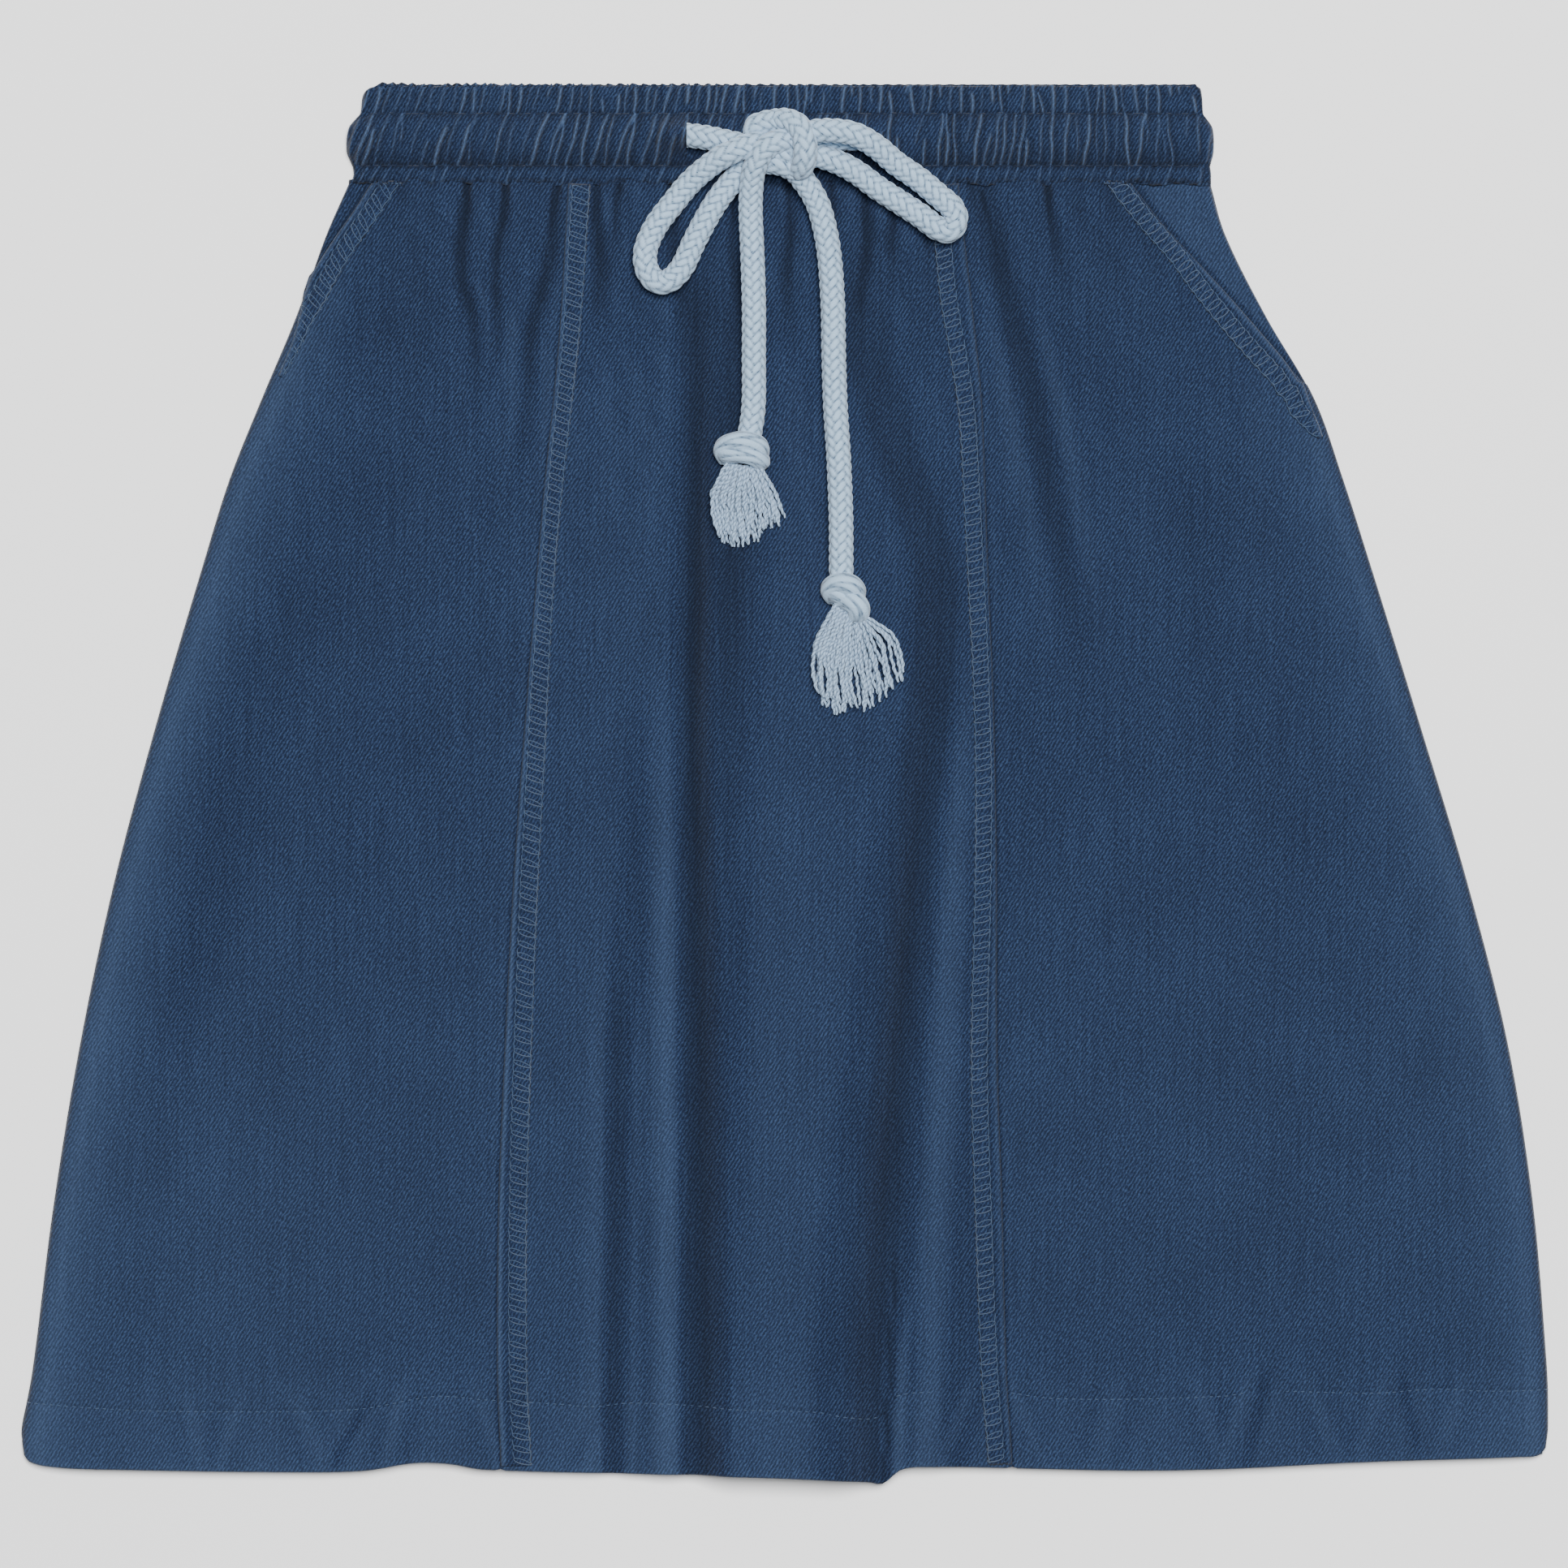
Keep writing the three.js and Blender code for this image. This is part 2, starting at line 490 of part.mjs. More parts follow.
// Hip piece that shows in the pocket's mouth, and passes a little way under the front
function hipPiece(side, mouth, inward) {
  const base = [];
  for (let r = 0; r <= HIP_ROWS; r += 1) {
    const y = lerp(SEAM_Y, mouth.pieceEndY, r / HIP_ROWS);
    const ends = [side(y), mouthLine(mouth, y) + inward * POCKET_OVERLAP].sort((a, b) => a - b);
    const row = [];
    for (let c = 0; c <= HIP_COLUMNS; c += 1) row.push([lerp(ends[0], ends[1], c / HIP_COLUMNS), y, CLOTH + GAP]);
    base.push(row);
  }
  const top = base.map((row) => row.map(([x, y, z]) => [x, y, z + HIP_CLOTH]));
  return wall(base, top);
}

// Front of the waistband: a crest and a trough for each gather, raised over a plain inside
function gatherPoint(row, k) {
  const u = k / (2 * GATHERS);
  const lean = GATHER_LEAN * (row.y - BAND[0].y) * Math.sin(Math.PI * u);
  const { shift, shiftTurn, mean, swing, swingTurn, swingPerMillimetre } = GATHER_UNEVEN;
  const uneven = shift * Math.sin(k * shiftTurn) * Math.sin(Math.PI * u);
  const x = lerp(row.left, row.right, u) + lean + uneven;
  const strength = mean + swing * Math.sin(k * swingTurn + row.y * swingPerMillimetre);
  const inset = THREE.MathUtils.clamp(Math.min(x - row.left, row.right - x) / BAND_ROUNDING, 0, 1);
  const round = Math.sqrt(1 - (1 - inset) * (1 - inset));
  const height = row.top + (k % 2 === 0 ? 1 : -1) * row.gather * strength;
  return [x, row.y, lerp(BACK_BAND + GAP + CLOTH, height, round)];
}

function bandFront() {
  const width = 2 * GATHERS + 1;
  const last = BAND.length - 1;
  const points = [];
  for (const row of BAND) {
    for (let k = 0; k < width; k += 1) points.push(gatherPoint(row, k));
  }
  for (const r of [0, last]) {
    for (let k = 0; k < width; k += 1) {
      const [x, y] = points[r * width + k];
      points.push([x, y, BACK_BAND + GAP]);
    }
  }
  const outer = (r, k) => r * width + k;
  const near = (k) => BAND.length * width + k;
  const far = (k) => (BAND.length + 1) * width + k;
  const triangles = [];
  const quad = (a, b, c, d) => triangles.push(a, b, c, a, c, d);
  for (let k = 0; k < width - 1; k += 1) {
    for (let r = 0; r < last; r += 1) {
      quad(outer(r, k), outer(r, k + 1), outer(r + 1, k + 1), outer(r + 1, k));
    }
    quad(near(k), far(k), far(k + 1), near(k + 1));
    quad(near(k), near(k + 1), outer(0, k + 1), outer(0, k));
    quad(far(k + 1), far(k), outer(last, k), outer(last, k + 1));
  }
  const end = width - 1;
  for (let r = 0; r < last; r += 1) {
    triangles.push(near(0), outer(r, 0), outer(r + 1, 0));
    triangles.push(near(end), outer(r + 1, end), outer(r, end));
  }
  triangles.push(near(0), outer(last, 0), far(0));
  triangles.push(near(end), far(end), outer(last, end));
  return geometryOf(points.flat(), triangles);
}

function bandBack() {
  const outline = BAND.map((row) => [row.left, row.y]);
  outline[outline.length - 1] = [-BACK_TOP_HALF, BACK_TOP_Y];
  const right = BAND.map((row) => [row.right, row.y]);
  right[right.length - 1] = [BACK_TOP_HALF, BACK_TOP_Y];
  return prism([...right, ...outline.reverse()], 0, BACK_BAND);
}

// Round cord along a route
function strand(route, radius, steps) {
  const path = new THREE.CatmullRomCurve3(route.map(([x, y, z]) => new THREE.Vector3(x, y, z)), false, 'centripetal');
  return new THREE.ExtrudeGeometry(circle(radius, CORD_SIDES), { extrudePath: path, steps, bevelEnabled: false });
}

function circle(radius, sides) {
  const points = [];
  for (let i = 0; i < sides; i += 1) {
    const angle = (2 * Math.PI * i) / sides;
    points.push(new THREE.Vector2(radius * Math.cos(angle), radius * Math.sin(angle)));
  }
  return new THREE.Shape(points);
}

function lump(row, grow) {
  const ball = new THREE.SphereGeometry(1, LUMP_SIDES, LUMP_RINGS);
  ball.scale(row.rx + grow, row.ry + grow, row.rz + grow).translate(row.x, row.y, row.z);
  return solidOf(ball);
}

function lumps(rows, grow) {
  return rows.map((row) => lump(row, grow)).reduce((whole, piece) => whole.add(piece));
}

function bowKnot(grow) {
  const turn = solidOf(strand(KNOT_TURN, CORD / 2 + grow, KNOT_TURN_STEPS));
  const front = solidOf(strand(KNOT_STRAND, CORD / 2 + grow, KNOT_STRAND_STEPS));
  return lumps(BOW_KNOT, grow).add(turn).add(front);
}

// Place across a fan, through its left, middle and right
function across(fan, u) {
  const [a, b, c] = fan;
  const wa = (1 - u) * (1 - 2 * u);
  const wb = 4 * u * (1 - u);
  const wc = u * (2 * u - 1);
  return [0, 1].map((k) => wa * a[k] + wb * b[k] + wc * c[k]);
}

// Yarns in layers, each from its root in the head over a bend to its tip
function tassel(fan, knot) {
  let whole = lump(fan.head, 0);
  for (let layer = 0; layer < YARN_LAYERS; layer += 1) {
    for (let i = 0; i < fan.yarns; i += 1) {
      const u = (i + LAYER_SHIFT * layer + FIRST_YARN) / fan.yarns;
      const level = fan.level + layer * LAYER_RISE;
      const [root, bend, end] = [fan.root, fan.bend, fan.end].map((points) => across(points, u));
      const shorter = TIP_UNEVEN.share * Math.abs(Math.sin(i * TIP_UNEVEN.perYarn + layer * TIP_UNEVEN.perLayer));
      const tip = [0, 1].map((k) => lerp(end[k], bend[k], shorter));
      const route = [[...root, fan.head.z], [...bend, level + BEND_RISE], [...tip, level]];
      const path = new THREE.CatmullRomCurve3(route.map(([x, y, z]) => new THREE.Vector3(x, y, z)));
      const section = circle(YARN / 2, YARN_SIDES);
      whole = whole.add(solidOf(new THREE.ExtrudeGeometry(section, { extrudePath: path, steps: YARN_STEPS, bevelEnabled: false })));
    }
  }
  return whole.subtract(knot);
}

add('back_panel', backPanel(), DENIM_INSIDE);
add('waistband_back', bandBack(), DENIM);
add('waistband_front', bandFront(), DENIM);

const centre = centrePanel();
const left = leftSidePanel();
const right = rightSidePanel();
add('front_centre', wall(centre.lower, centre.upper), DENIM);
add('front_side_left', wall(left.lower, left.upper), DENIM);
add('front_side_right', wall(right.lower, right.upper), DENIM);

add('seam_allowance_left', allowanceOn(centre, 'left', HEM_Y), DENIM);
add('seam_allowance_right', allowanceOn(centre, 'right', HEM_Y), DENIM);
add('hip_piece_left', hipPiece(sideLeft, MOUTHS.left, 1), DENIM);
add('hip_piece_right', hipPiece(sideRight, MOUTHS.right, -1), DENIM);
add('pocket_edge_left', allowanceOn(left, 'left', MOUTHS.left.edgeEndY), DENIM);
add('pocket_edge_right', allowanceOn(right, 'right', MOUTHS.right.edgeEndY), DENIM);

// Each stretch of the drawstring is cut clear of what it passes under or runs into
const knotSpace = bowKnot(GAP);
const endKnotSpace = { left: lumps(END_KNOTS.left, GAP), right: lumps(END_KNOTS.right, GAP) };
const cord = (name, grow = 0) => solidOf(strand(ROUTES[name], CORD / 2 + grow, ROUTE_STEPS[name]));
const loopSpace = cord('cord_loop_left', GAP).add(cord('cord_loop_right', GAP));
add('bow_knot', geometryFrom(bowKnot(0)), COTTON);
add('cord_loop_left', geometryFrom(cord('cord_loop_left').subtract(knotSpace)), COTTON);
add('cord_loop_right', geometryFrom(cord('cord_loop_right').subtract(knotSpace)), COTTON);
for (const side of ['left', 'right']) {
  const lead = cord(`cord_lead_${side}`).subtract(knotSpace).subtract(loopSpace);
  const tail = cord(`cord_tail_${side}`).subtract(knotSpace).subtract(loopSpace).subtract(endKnotSpace[side]);
  add(`cord_lead_${side}`, geometryFrom(lead), COTTON);
  add(`cord_tail_${side}`, geometryFrom(tail), COTTON);
  add(`end_knot_${side}`, geometryFrom(lumps(END_KNOTS[side], 0)), COTTON);
  add(`tassel_${side}`, geometryFrom(tassel(TASSELS[side], endKnotSpace[side])), COTTON);
}

export default skirt;
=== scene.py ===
import math
import random
import bmesh
import bpy
import numpy as np
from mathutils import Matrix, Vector


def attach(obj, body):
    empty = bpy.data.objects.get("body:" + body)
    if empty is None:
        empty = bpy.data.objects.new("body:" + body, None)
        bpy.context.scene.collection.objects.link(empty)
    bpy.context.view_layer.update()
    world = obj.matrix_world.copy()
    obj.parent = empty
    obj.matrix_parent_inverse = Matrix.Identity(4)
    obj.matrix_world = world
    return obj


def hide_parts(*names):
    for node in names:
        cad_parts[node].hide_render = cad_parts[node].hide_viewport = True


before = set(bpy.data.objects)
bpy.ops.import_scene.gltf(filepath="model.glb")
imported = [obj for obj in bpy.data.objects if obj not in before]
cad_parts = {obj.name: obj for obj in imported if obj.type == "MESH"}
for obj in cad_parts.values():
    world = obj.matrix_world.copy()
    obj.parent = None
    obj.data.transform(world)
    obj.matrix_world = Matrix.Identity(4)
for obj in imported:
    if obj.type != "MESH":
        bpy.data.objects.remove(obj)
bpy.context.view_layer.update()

# The camera looks straight down at the skirt on its table, from far enough for the folds
# to keep their shape, and takes in a square a little wider than the hem.
MM = 0.001
VIEW_WIDTH = 483 * MM
VIEW_CENTRE = -0.25 * MM
CLOTH_LEVEL = 5 * MM
CAMERA_HEIGHT = 2.4
SENSOR = 36.0
camera_data = bpy.data.cameras.new("camera")
camera_data.sensor_width = SENSOR
camera_data.lens = SENSOR * CAMERA_HEIGHT / VIEW_WIDTH
camera = bpy.data.objects.new("camera", camera_data)
camera.location = (VIEW_CENTRE, VIEW_CENTRE, CAMERA_HEIGHT + CLOTH_LEVEL)
bpy.context.collection.objects.link(camera)
bpy.context.scene.camera = camera


# The drawstring is a round cotton cord, plaited from sixteen soft yarns, washed pale blue. It comes
# out of the waist channel twice and is tied in a bow; each route is the cord's centre line in mm.
CORD = 7.5
PLAITS_AROUND = 8
BRAID_PITCH = 25.0
BRAID_RELIEF = 0.6
CROWN_RISE = 0.12
CORD_SIDES = 48
CORD_STEP = 0.42
CURVE_POINTS = 24
SLIT_X = -30.2

LEFT_LEAD_AND_RIGHT_LOOP = [
    (-34, 199.6, 8.6), (-30.2, 199.2, 9.8), (-25.2, 198.5, 11.7), (-20.5, 197.5, 12.5),
    (-14.5, 196.2, 12.4), (-7, 195.2, 12.2), (0, 196, 12.8), (4.6, 198, 15.2), (8.2, 199.5, 18.2),
    (15, 199.7, 20.2), (21.7, 198.5, 19.6), (28.2, 195, 16.6), (34.2, 190.2, 13.6), (41.2, 185.5, 12),
    (47.5, 180.2, 11.9), (51.2, 177, 12.1), (52.6, 173.2, 12.2), (50.7, 169.7, 12.1), (46.7, 170.6, 11.6),
    (41.7, 174.4, 10.8), (35, 178.8, 10.2), (28.2, 183.2, 10.2), (22.7, 187.2, 11.4), (16.5, 190.5, 13.4),
    (9.5, 192.7, 14.4), (3, 192.8, 15.4), (-2.5, 193.4, 15),
]
RIGHT_LEAD_LEFT_LOOP_AND_TAIL = [
    (21, 198, 9), (19.5, 198, 12), (16.5, 198.1, 12.7), (8.2, 198.2, 12.7), (2, 197.4, 12.7),
    (-4, 196.6, 14.2), (-9.7, 196, 15.9), (-16.7, 193.2, 16.6), (-22.2, 190.2, 14.4), (-28.7, 185, 11.2),
    (-34.2, 178.5, 10.2), (-39.5, 171.5, 10.3), (-42.7, 164.2, 10.7), (-42.5, 158.2, 10.9),
    (-39.5, 154.2, 10.9), (-35.5, 154.5, 10.6), (-31.5, 158.7, 10.3), (-28.2, 165.7, 10.5),
    (-24.7, 172.5, 10.6), (-20.7, 179.2, 10.4), (-16, 185.2, 10.2), (-12.7, 188.2, 10.6), (-7, 190.6, 12.4),
    (-1.6, 190.2, 14.6), (2.6, 188.4, 13.4), (4.9, 186.2, 11.8), (8.2, 181.7, 11), (11, 175.5, 11.4),
    (13.5, 163.5, 12.8), (14.7, 147.5, 14.4), (15, 131.5, 15.5), (15.5, 115.5, 16.3), (16.5, 99.7, 16.9),
    (17.2, 81.2, 17.5), (17.3, 64, 18.1), (17.8, 59, 18.4),
]
LEFT_TAIL = [
    (2.4, 196.8, 16.4), (1, 197, 17), (-3.2, 196.2, 18.4), (-7, 193.2, 18), (-9.3, 188.6, 16.2),
    (-10.2, 183.6, 14), (-10.5, 175.5, 12.4), (-10, 163.5, 13), (-9.5, 147.5, 14.4), (-9.5, 131.5, 15.5),
    (-9.6, 115.5, 16.2), (-11, 106, 16.8), (-12, 102.5, 17.2),
]
KNOT_TURN = [
    (-3, 196, 12.6), (-8.2, 198.4, 12.8), (-9, 201.4, 13.8), (-5.6, 202.7, 14.8), (-2, 203.2, 15.6),
    (0.3, 203.2, 17.2), (3.2, 202, 19.2), (5.2, 199.5, 20.5), (6.1, 196.2, 20.8), (6.2, 192.5, 20.2),
    (5.6, 189.6, 18), (4.4, 188.4, 15), (2.6, 189.6, 12.2), (0.6, 192.4, 11.2),
]


def hex_colour(code):
    """An sRGB hex colour as linear red, green, blue and alpha."""
    parts = [int(code[i:i + 2], 16) / 255 for i in (1, 3, 5)]
    linear = [c / 12.92 if c <= 0.04045 else ((c + 0.055) / 1.055) ** 2.4 for c in parts]
    return (*linear, 1.0)


def new_material(name, roughness, specular, sheen):
    """A matt material with its node tree and Principled shader."""
    made = bpy.data.materials.new(name)
    made.use_nodes = True
    shader = made.node_tree.nodes["Principled BSDF"]
    shader.inputs["Roughness"].default_value = roughness
    shader.inputs["Specular IOR Level"].default_value = specular
    shader.inputs["Sheen Weight"].default_value = sheen
    return made, made.node_tree, shader


def add_node(tree, kind, links=(), **settings):
    """A node with its settings, and links from other nodes' outputs to its inputs."""
    node = tree.nodes.new(kind)
    for key, value in settings.items():
        if key.startswith("in_"):
            node.inputs[int(key[3:])].default_value = value
        else:
            setattr(node, key, value)
    for output, place in links:
        tree.links.new(output, node.inputs[place])
    return node


def colour_ramp(tree, factor, *stops):
    """A colour ramp through stops of place and hex colour."""
    node = add_node(tree, "ShaderNodeValToRGB", [(factor, 0)])
    elements = node.color_ramp.elements
    while len(elements) < len(stops):
        elements.new(0.5)
    for element, (place, code) in zip(elements, stops):
        element.position = place
        element.color = hex_colour(code)
    return node.outputs[0]


def noise(tree, place, scale, detail, roughness=0.5):
    """Noise at a place."""
    return add_node(tree, "ShaderNodeTexNoise", [(place, 0)],
                    in_2=scale, in_3=detail, in_4=roughness).outputs["Fac"]


def blend(tree, share, first, second):
    """A mix of two values, with this share of the second."""
    return add_node(tree, "ShaderNodeMix", [(first, 2), (second, 3)], in_0=share).outputs[0]


def small_relief(tree, shader, height, strength, depth):
    """Relief too fine for the mesh, as a bump on the shader."""
    bump = add_node(tree, "ShaderNodeBump", [(height, "Height")], in_0=strength, in_1=depth)
    tree.links.new(bump.outputs[0], shader.inputs["Normal"])


def plain_material(name, code, *finish):
    """A matt material of one colour."""
    made, _, shader = new_material(name, *finish)
    shader.inputs["Base Color"].default_value = hex_colour(code)
    return made


def smooth_route(route, step):
    """Points one step apart on a smooth curve through a route."""
    knots = [np.array(p, dtype=float) for p in route]
    knots = [2 * knots[0] - knots[1], *knots, 2 * knots[-1] - knots[-2]]
    t = np.linspace(0, 1, CURVE_POINTS, endpoint=False)[:, None]
    fine = [0.5 * (2 * b + (c - a) * t + (2 * a - 5 * b + 4 * c - d) * t ** 2
                   + (3 * b - a - 3 * c + d) * t ** 3)
            for a, b, c, d in zip(knots, knots[1:], knots[2:], knots[3:])]
    fine = np.concatenate([*fine, [knots[-2]]])
    away = lengths_along(fine)
    marks = np.linspace(0, away[-1], max(int(away[-1] / step), 4) + 1)
    line = np.stack([np.interp(marks, away, fine[:, k]) for k in range(3)], axis=1)
    for _ in range(3):
        line[1:-1] = 0.5 * line[1:-1] + 0.25 * (line[:-2] + line[2:])
    return line


def lengths_along(line):
    """How far each point of a line is from its start."""
    return np.concatenate([[0], np.cumsum(np.linalg.norm(np.diff(line, axis=0), axis=1))])


def frames_along(line):
    """Two directions across a line at each of its points, turned as little as can be."""
    tangents = np.gradient(line, axis=0)
    tangents /= np.linalg.norm(tangents, axis=1)[:, None]
    side = np.cross(tangents[0], (0.1, 1.0, 0.2))
    sides = []
    for tangent in tangents:
        side = side - tangent * side.dot(tangent)
        side = side / np.linalg.norm(side)
        sides.append(side)
    return np.array(sides), np.cross(tangents, sides)


def add_tube(bm, line, sides, radius):
    """A closed tube round a line in mm; radius gives a ring's radii and how far its yarns stand up."""
    across, up = frames_along(line)
    away = lengths_along(line)
    angles = np.linspace(0, 2 * math.pi, sides, endpoint=False)
    round_about = np.stack([np.cos(angles), np.sin(angles)])
    crown_layer = bm.verts.layers.float.get("crown") or bm.verts.layers.float.new("crown")
    rings = []
    for centre, a, u, s in zip(line, across, up, away):
        radii, crowns = radius(s, away[-1] - s, angles)
        spots = centre + (radii * round_about[0])[:, None] * a + (radii * round_about[1])[:, None] * u
        ring = [bm.verts.new(spot) for spot in spots * MM]
        for vert, crown in zip(ring, crowns):
            vert[crown_layer] = crown
        rings.append(ring)
    for ring, following in zip(rings, rings[1:]):
        for k in range(sides):
            bm.faces.new((ring[k - 1], ring[k], following[k], following[k - 1])).smooth = True
    bm.faces.new(rings[0])
    bm.faces.new(rings[-1][::-1])


def finished(name, bm, material):
    """An object at the origin that holds a bmesh."""
    bmesh.ops.recalc_face_normals(bm, faces=bm.faces)
    mesh = bpy.data.meshes.new(name)
    bm.to_mesh(mesh)
    bm.free()
    made = bpy.data.objects.new(name, mesh)
    bpy.context.collection.objects.link(made)
    mesh.materials.append(material)
    return made


def belongs(made, slot, *nodes):
    """The piece rides on the skirt, in place of its plain solids; slot is not used."""
    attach(made, "root")
    if nodes:
        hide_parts(*nodes)
    return made


def braid(radius, relief, pitch):
    """Radii of a braid: each yarn winds over two of the others, then under two."""
    def at(s, _, angles):
        turns = PLAITS_AROUND * angles / (2 * math.pi)
        a = turns + PLAITS_AROUND * s / pitch
        b = turns - PLAITS_AROUND * s / pitch
        place = (np.floor(a) + np.floor(b)) % 4
        over = place < 2
        across = np.where(over, a % 1, b % 1) * 2 - 1
        ahead = np.where(over, place + b % 1, place - 2 + a % 1) - 1
        height = np.sqrt(np.clip(1 - across ** 2, 0, 1)) * (1 - 0.55 * ahead ** 2)
        return radius - relief * (1 - height), height
    return at


def cotton_material(name, crown, groove, fibre_scale):
    """Soft matt cotton with fine fibres: its own pale colour where the yarns stand up, darker in the grooves
    between them as painted shade.
    """
    made, tree, shader = new_material(name, roughness=0.95, specular=0.15, sheen=0.3)
    place = add_node(tree, "ShaderNodeTexCoord").outputs["Object"]
    height = add_node(tree, "ShaderNodeAttribute", attribute_name="crown").outputs["Fac"]
    fibre = noise(tree, place, fibre_scale, 3.0)
    uneven = blend(tree, 0.5, noise(tree, place, 220.0, 4.0), fibre)
    lifted = blend(tree, 0.3, height, uneven)
    colour = colour_ramp(tree, lifted, (0.24, groove), (0.66, crown))
    tree.links.new(colour, shader.inputs["Base Color"])
    small_relief(tree, shader, fibre, 0.6, 0.3 * MM)
    return made


# The second colour is painted shade in the grooves between the plaits.
cotton = cotton_material("braided cotton cord", "#9DB8D0", "#3E5268", 1500.0)


def braided_cord(name, route, *nodes):
    """A braided cord along a route, with its centre line and length in metres."""
    line = smooth_route(route, CORD_STEP)
    bm = bmesh.new()
    add_tube(bm, line, CORD_SIDES, braid(CORD / 2 + CROWN_RISE, BRAID_RELIEF, BRAID_PITCH))
    made = belongs(finished(name, bm, cotton), "braided_cord", *nodes)
    return made, line * MM, float(lengths_along(line)[-1]) * MM


right_loop = braided_cord("cord_left_lead_to_right_loop", LEFT_LEAD_AND_RIGHT_LOOP,
                          "cord_lead_left", "cord_loop_right")
for vert in right_loop[0].data.vertices:
    vert.co.x = max(vert.co.x, SLIT_X * MM)
left_loop = braided_cord("cord_left_loop_to_right_tail", RIGHT_LEAD_LEFT_LOOP_AND_TAIL,
                         "cord_lead_right", "cord_loop_left", "cord_tail_right")
left_tail = braided_cord("cord_left_tail", LEFT_TAIL, "cord_tail_left")
knot_turn = braided_cord("bow_knot_turn", KNOT_TURN, "bow_knot")


# Each tail ends in an overhand knot drawn up tight. The cord wraps over itself there, so its plaits
# are pulled long and lie almost along it; every wrap is a route with its own half thickness.
END_KNOT_WRAPS = {
    "left": [
        (3.3, [(-17.6, 100, 13.6), (-18.8, 102.4, 16.4), (-16, 104.2, 19), (-11.6, 104.5, 19.8),
         (-8.2, 103.2, 18.4), (-8, 101, 15.4)]),
        (3.1, [(-18.4, 101.6, 14.6), (-17.8, 101.2, 17.6), (-13.6, 101, 19.6), (-9.6, 100.2, 19),
         (-7.4, 98.8, 16.6), (-8.4, 99, 14)]),
        (3.4, [(-14.5, 101.6, 14.6), (-12.6, 101.2, 15.6), (-10, 100.6, 14.8)]),
    ],
    "right": [
        (3.5, [(15.4, 57.6, 14.4), (14.2, 59.4, 17.4), (16.6, 61.2, 20.2), (20, 60.6, 20.4),
         (21.6, 58.4, 17.8), (20.4, 57.2, 15)]),
        (3.4, [(14.6, 58.6, 16.4), (16.4, 58.4, 19), (18.4, 57.4, 18.8)]),
        (3.7, [(17.6, 56.4, 16.6), (20.2, 56, 19.4), (22.4, 54.2, 20), (22.4, 52.2, 17.6),
         (20.6, 52.6, 15.4)]),
    ],
}
PULLED_PITCH = 90.0
PULLED_RELIEF = 0.28


def end_knot(side):
    """The wraps of one end knot."""
    bm = bmesh.new()
    for half, route in END_KNOT_WRAPS[side]:
        add_tube(bm, smooth_route(route, CORD_STEP), CORD_SIDES, braid(half, PULLED_RELIEF, PULLED_PITCH))
    return belongs(finished(f"end_knot_{side}_wraps", bm, cotton), "braided_cord", f"end_knot_{side}")


end_knots = {side: end_knot(side) for side in END_KNOT_WRAPS}


# The tassels are the cord's own yarns, two-ply and crimped from the braid, 21 to 31 mm long,
# combed out below the knots. They lie in a loose fan, each from its root over a bend to its tip.
YARN = 1.15
YARN_SIDES = 7
YARN_STEP = 0.55
PLY_TURN = 3.2
CRIMP = 3.4
TASSELS = {
    "left": dict(
        count=44, level=13.8, depth=4.4, root_level=16.4, seed=11,
        root=[(-17.6, 99), (-12.6, 97.4), (-8.4, 98.2)],
        bend=[(-22.6, 88.6), (-12.6, 86), (-3, 89.4)],
        end=[(-20.4, 75.2), (-11.2, 72.6), (0.2, 81)],
    ),
    "right": dict(
        count=48, level=15, depth=4.6, root_level=17.6, seed=23,
        root=[(15.6, 55.4), (19.8, 52.6), (24, 51.6)],
        bend=[(9.2, 43.6), (18.6, 37), (33.2, 45.6)],
        end=[(9.6, 26.6), (20.4, 20.6), (37.4, 31)],
    ),
}
# The second colour is painted shade between the plies of each yarn.
yarn_cotton = cotton_material("combed-out cotton yarn", "#96B0CA", "#3C5068", 2400.0)


def across_fan(points, u):
    """A place across a fan, through its left, middle and right."""
    a, b, c = (np.array(p) for p in points)
    return (1 - u) * (1 - 2 * u) * a + 4 * u * (1 - u) * b + u * (2 * u - 1) * c


def two_ply(turn):
    """Radii of a yarn of two plies, loosening and thinning at its tip."""
    def at(s, left_over, angles):
        lobes = 0.5 + 0.5 * np.cos(2 * (angles - 2 * math.pi * s / PLY_TURN + turn))
        taper = 0.62 + 0.38 * min(left_over / 2.5, 1)
        # The second value darkens the yarn between its plies as painted shade.
        return YARN / 2 * (0.78 + 0.22 * lobes) * taper, 0.25 + 0.75 * lobes
    return at


def tassel(side):
    """One tassel: loose yarns from the knot to their uneven tips."""
    fan = TASSELS[side]
    draw = random.Random(fan["seed"])
    bm = bmesh.new()
    for i in range(fan["count"]):
        u = min(max((i + draw.uniform(-0.8, 0.8)) / (fan["count"] - 1), 0), 1)
        layer = (i * 7 % 5) / 4
        root, bend, end = (across_fan(fan[key], u) for key in ("root", "bend", "end"))
        end = end + (bend - end) * draw.uniform(-0.02, 0.3)
        sway = np.array((draw.uniform(-1.4, 1.4), draw.uniform(-0.8, 0.8)))
        level = fan["level"] + layer * fan["depth"] * 0.6
        top = fan["root_level"] + (layer - 0.5) * fan["depth"] * 0.5
        route = [(*root, top), (*(0.55 * root + 0.45 * bend + 0.4 * sway), 0.5 * (top + level) + 0.8),
                 (*bend, level + 0.6), (*(0.5 * (bend + end) + sway), level + 0.1), (*end, level)]
        line = smooth_route(route, YARN_STEP)
        away = lengths_along(line)
        phase = draw.uniform(0, 6.3)
        line[:, 0] += 0.16 * np.sin(2 * math.pi * away / CRIMP + phase)
        line[:, 2] += 0.14 * np.cos(2 * math.pi * away / CRIMP + phase)
        add_tube(bm, line, YARN_SIDES, two_ply(phase))
    return belongs(finished(f"tassel_{side}_yarns", bm, yarn_cotton), "tassel_yarn", f"tassel_{side}")


tassels = {side: tassel(side) for side in TASSELS}


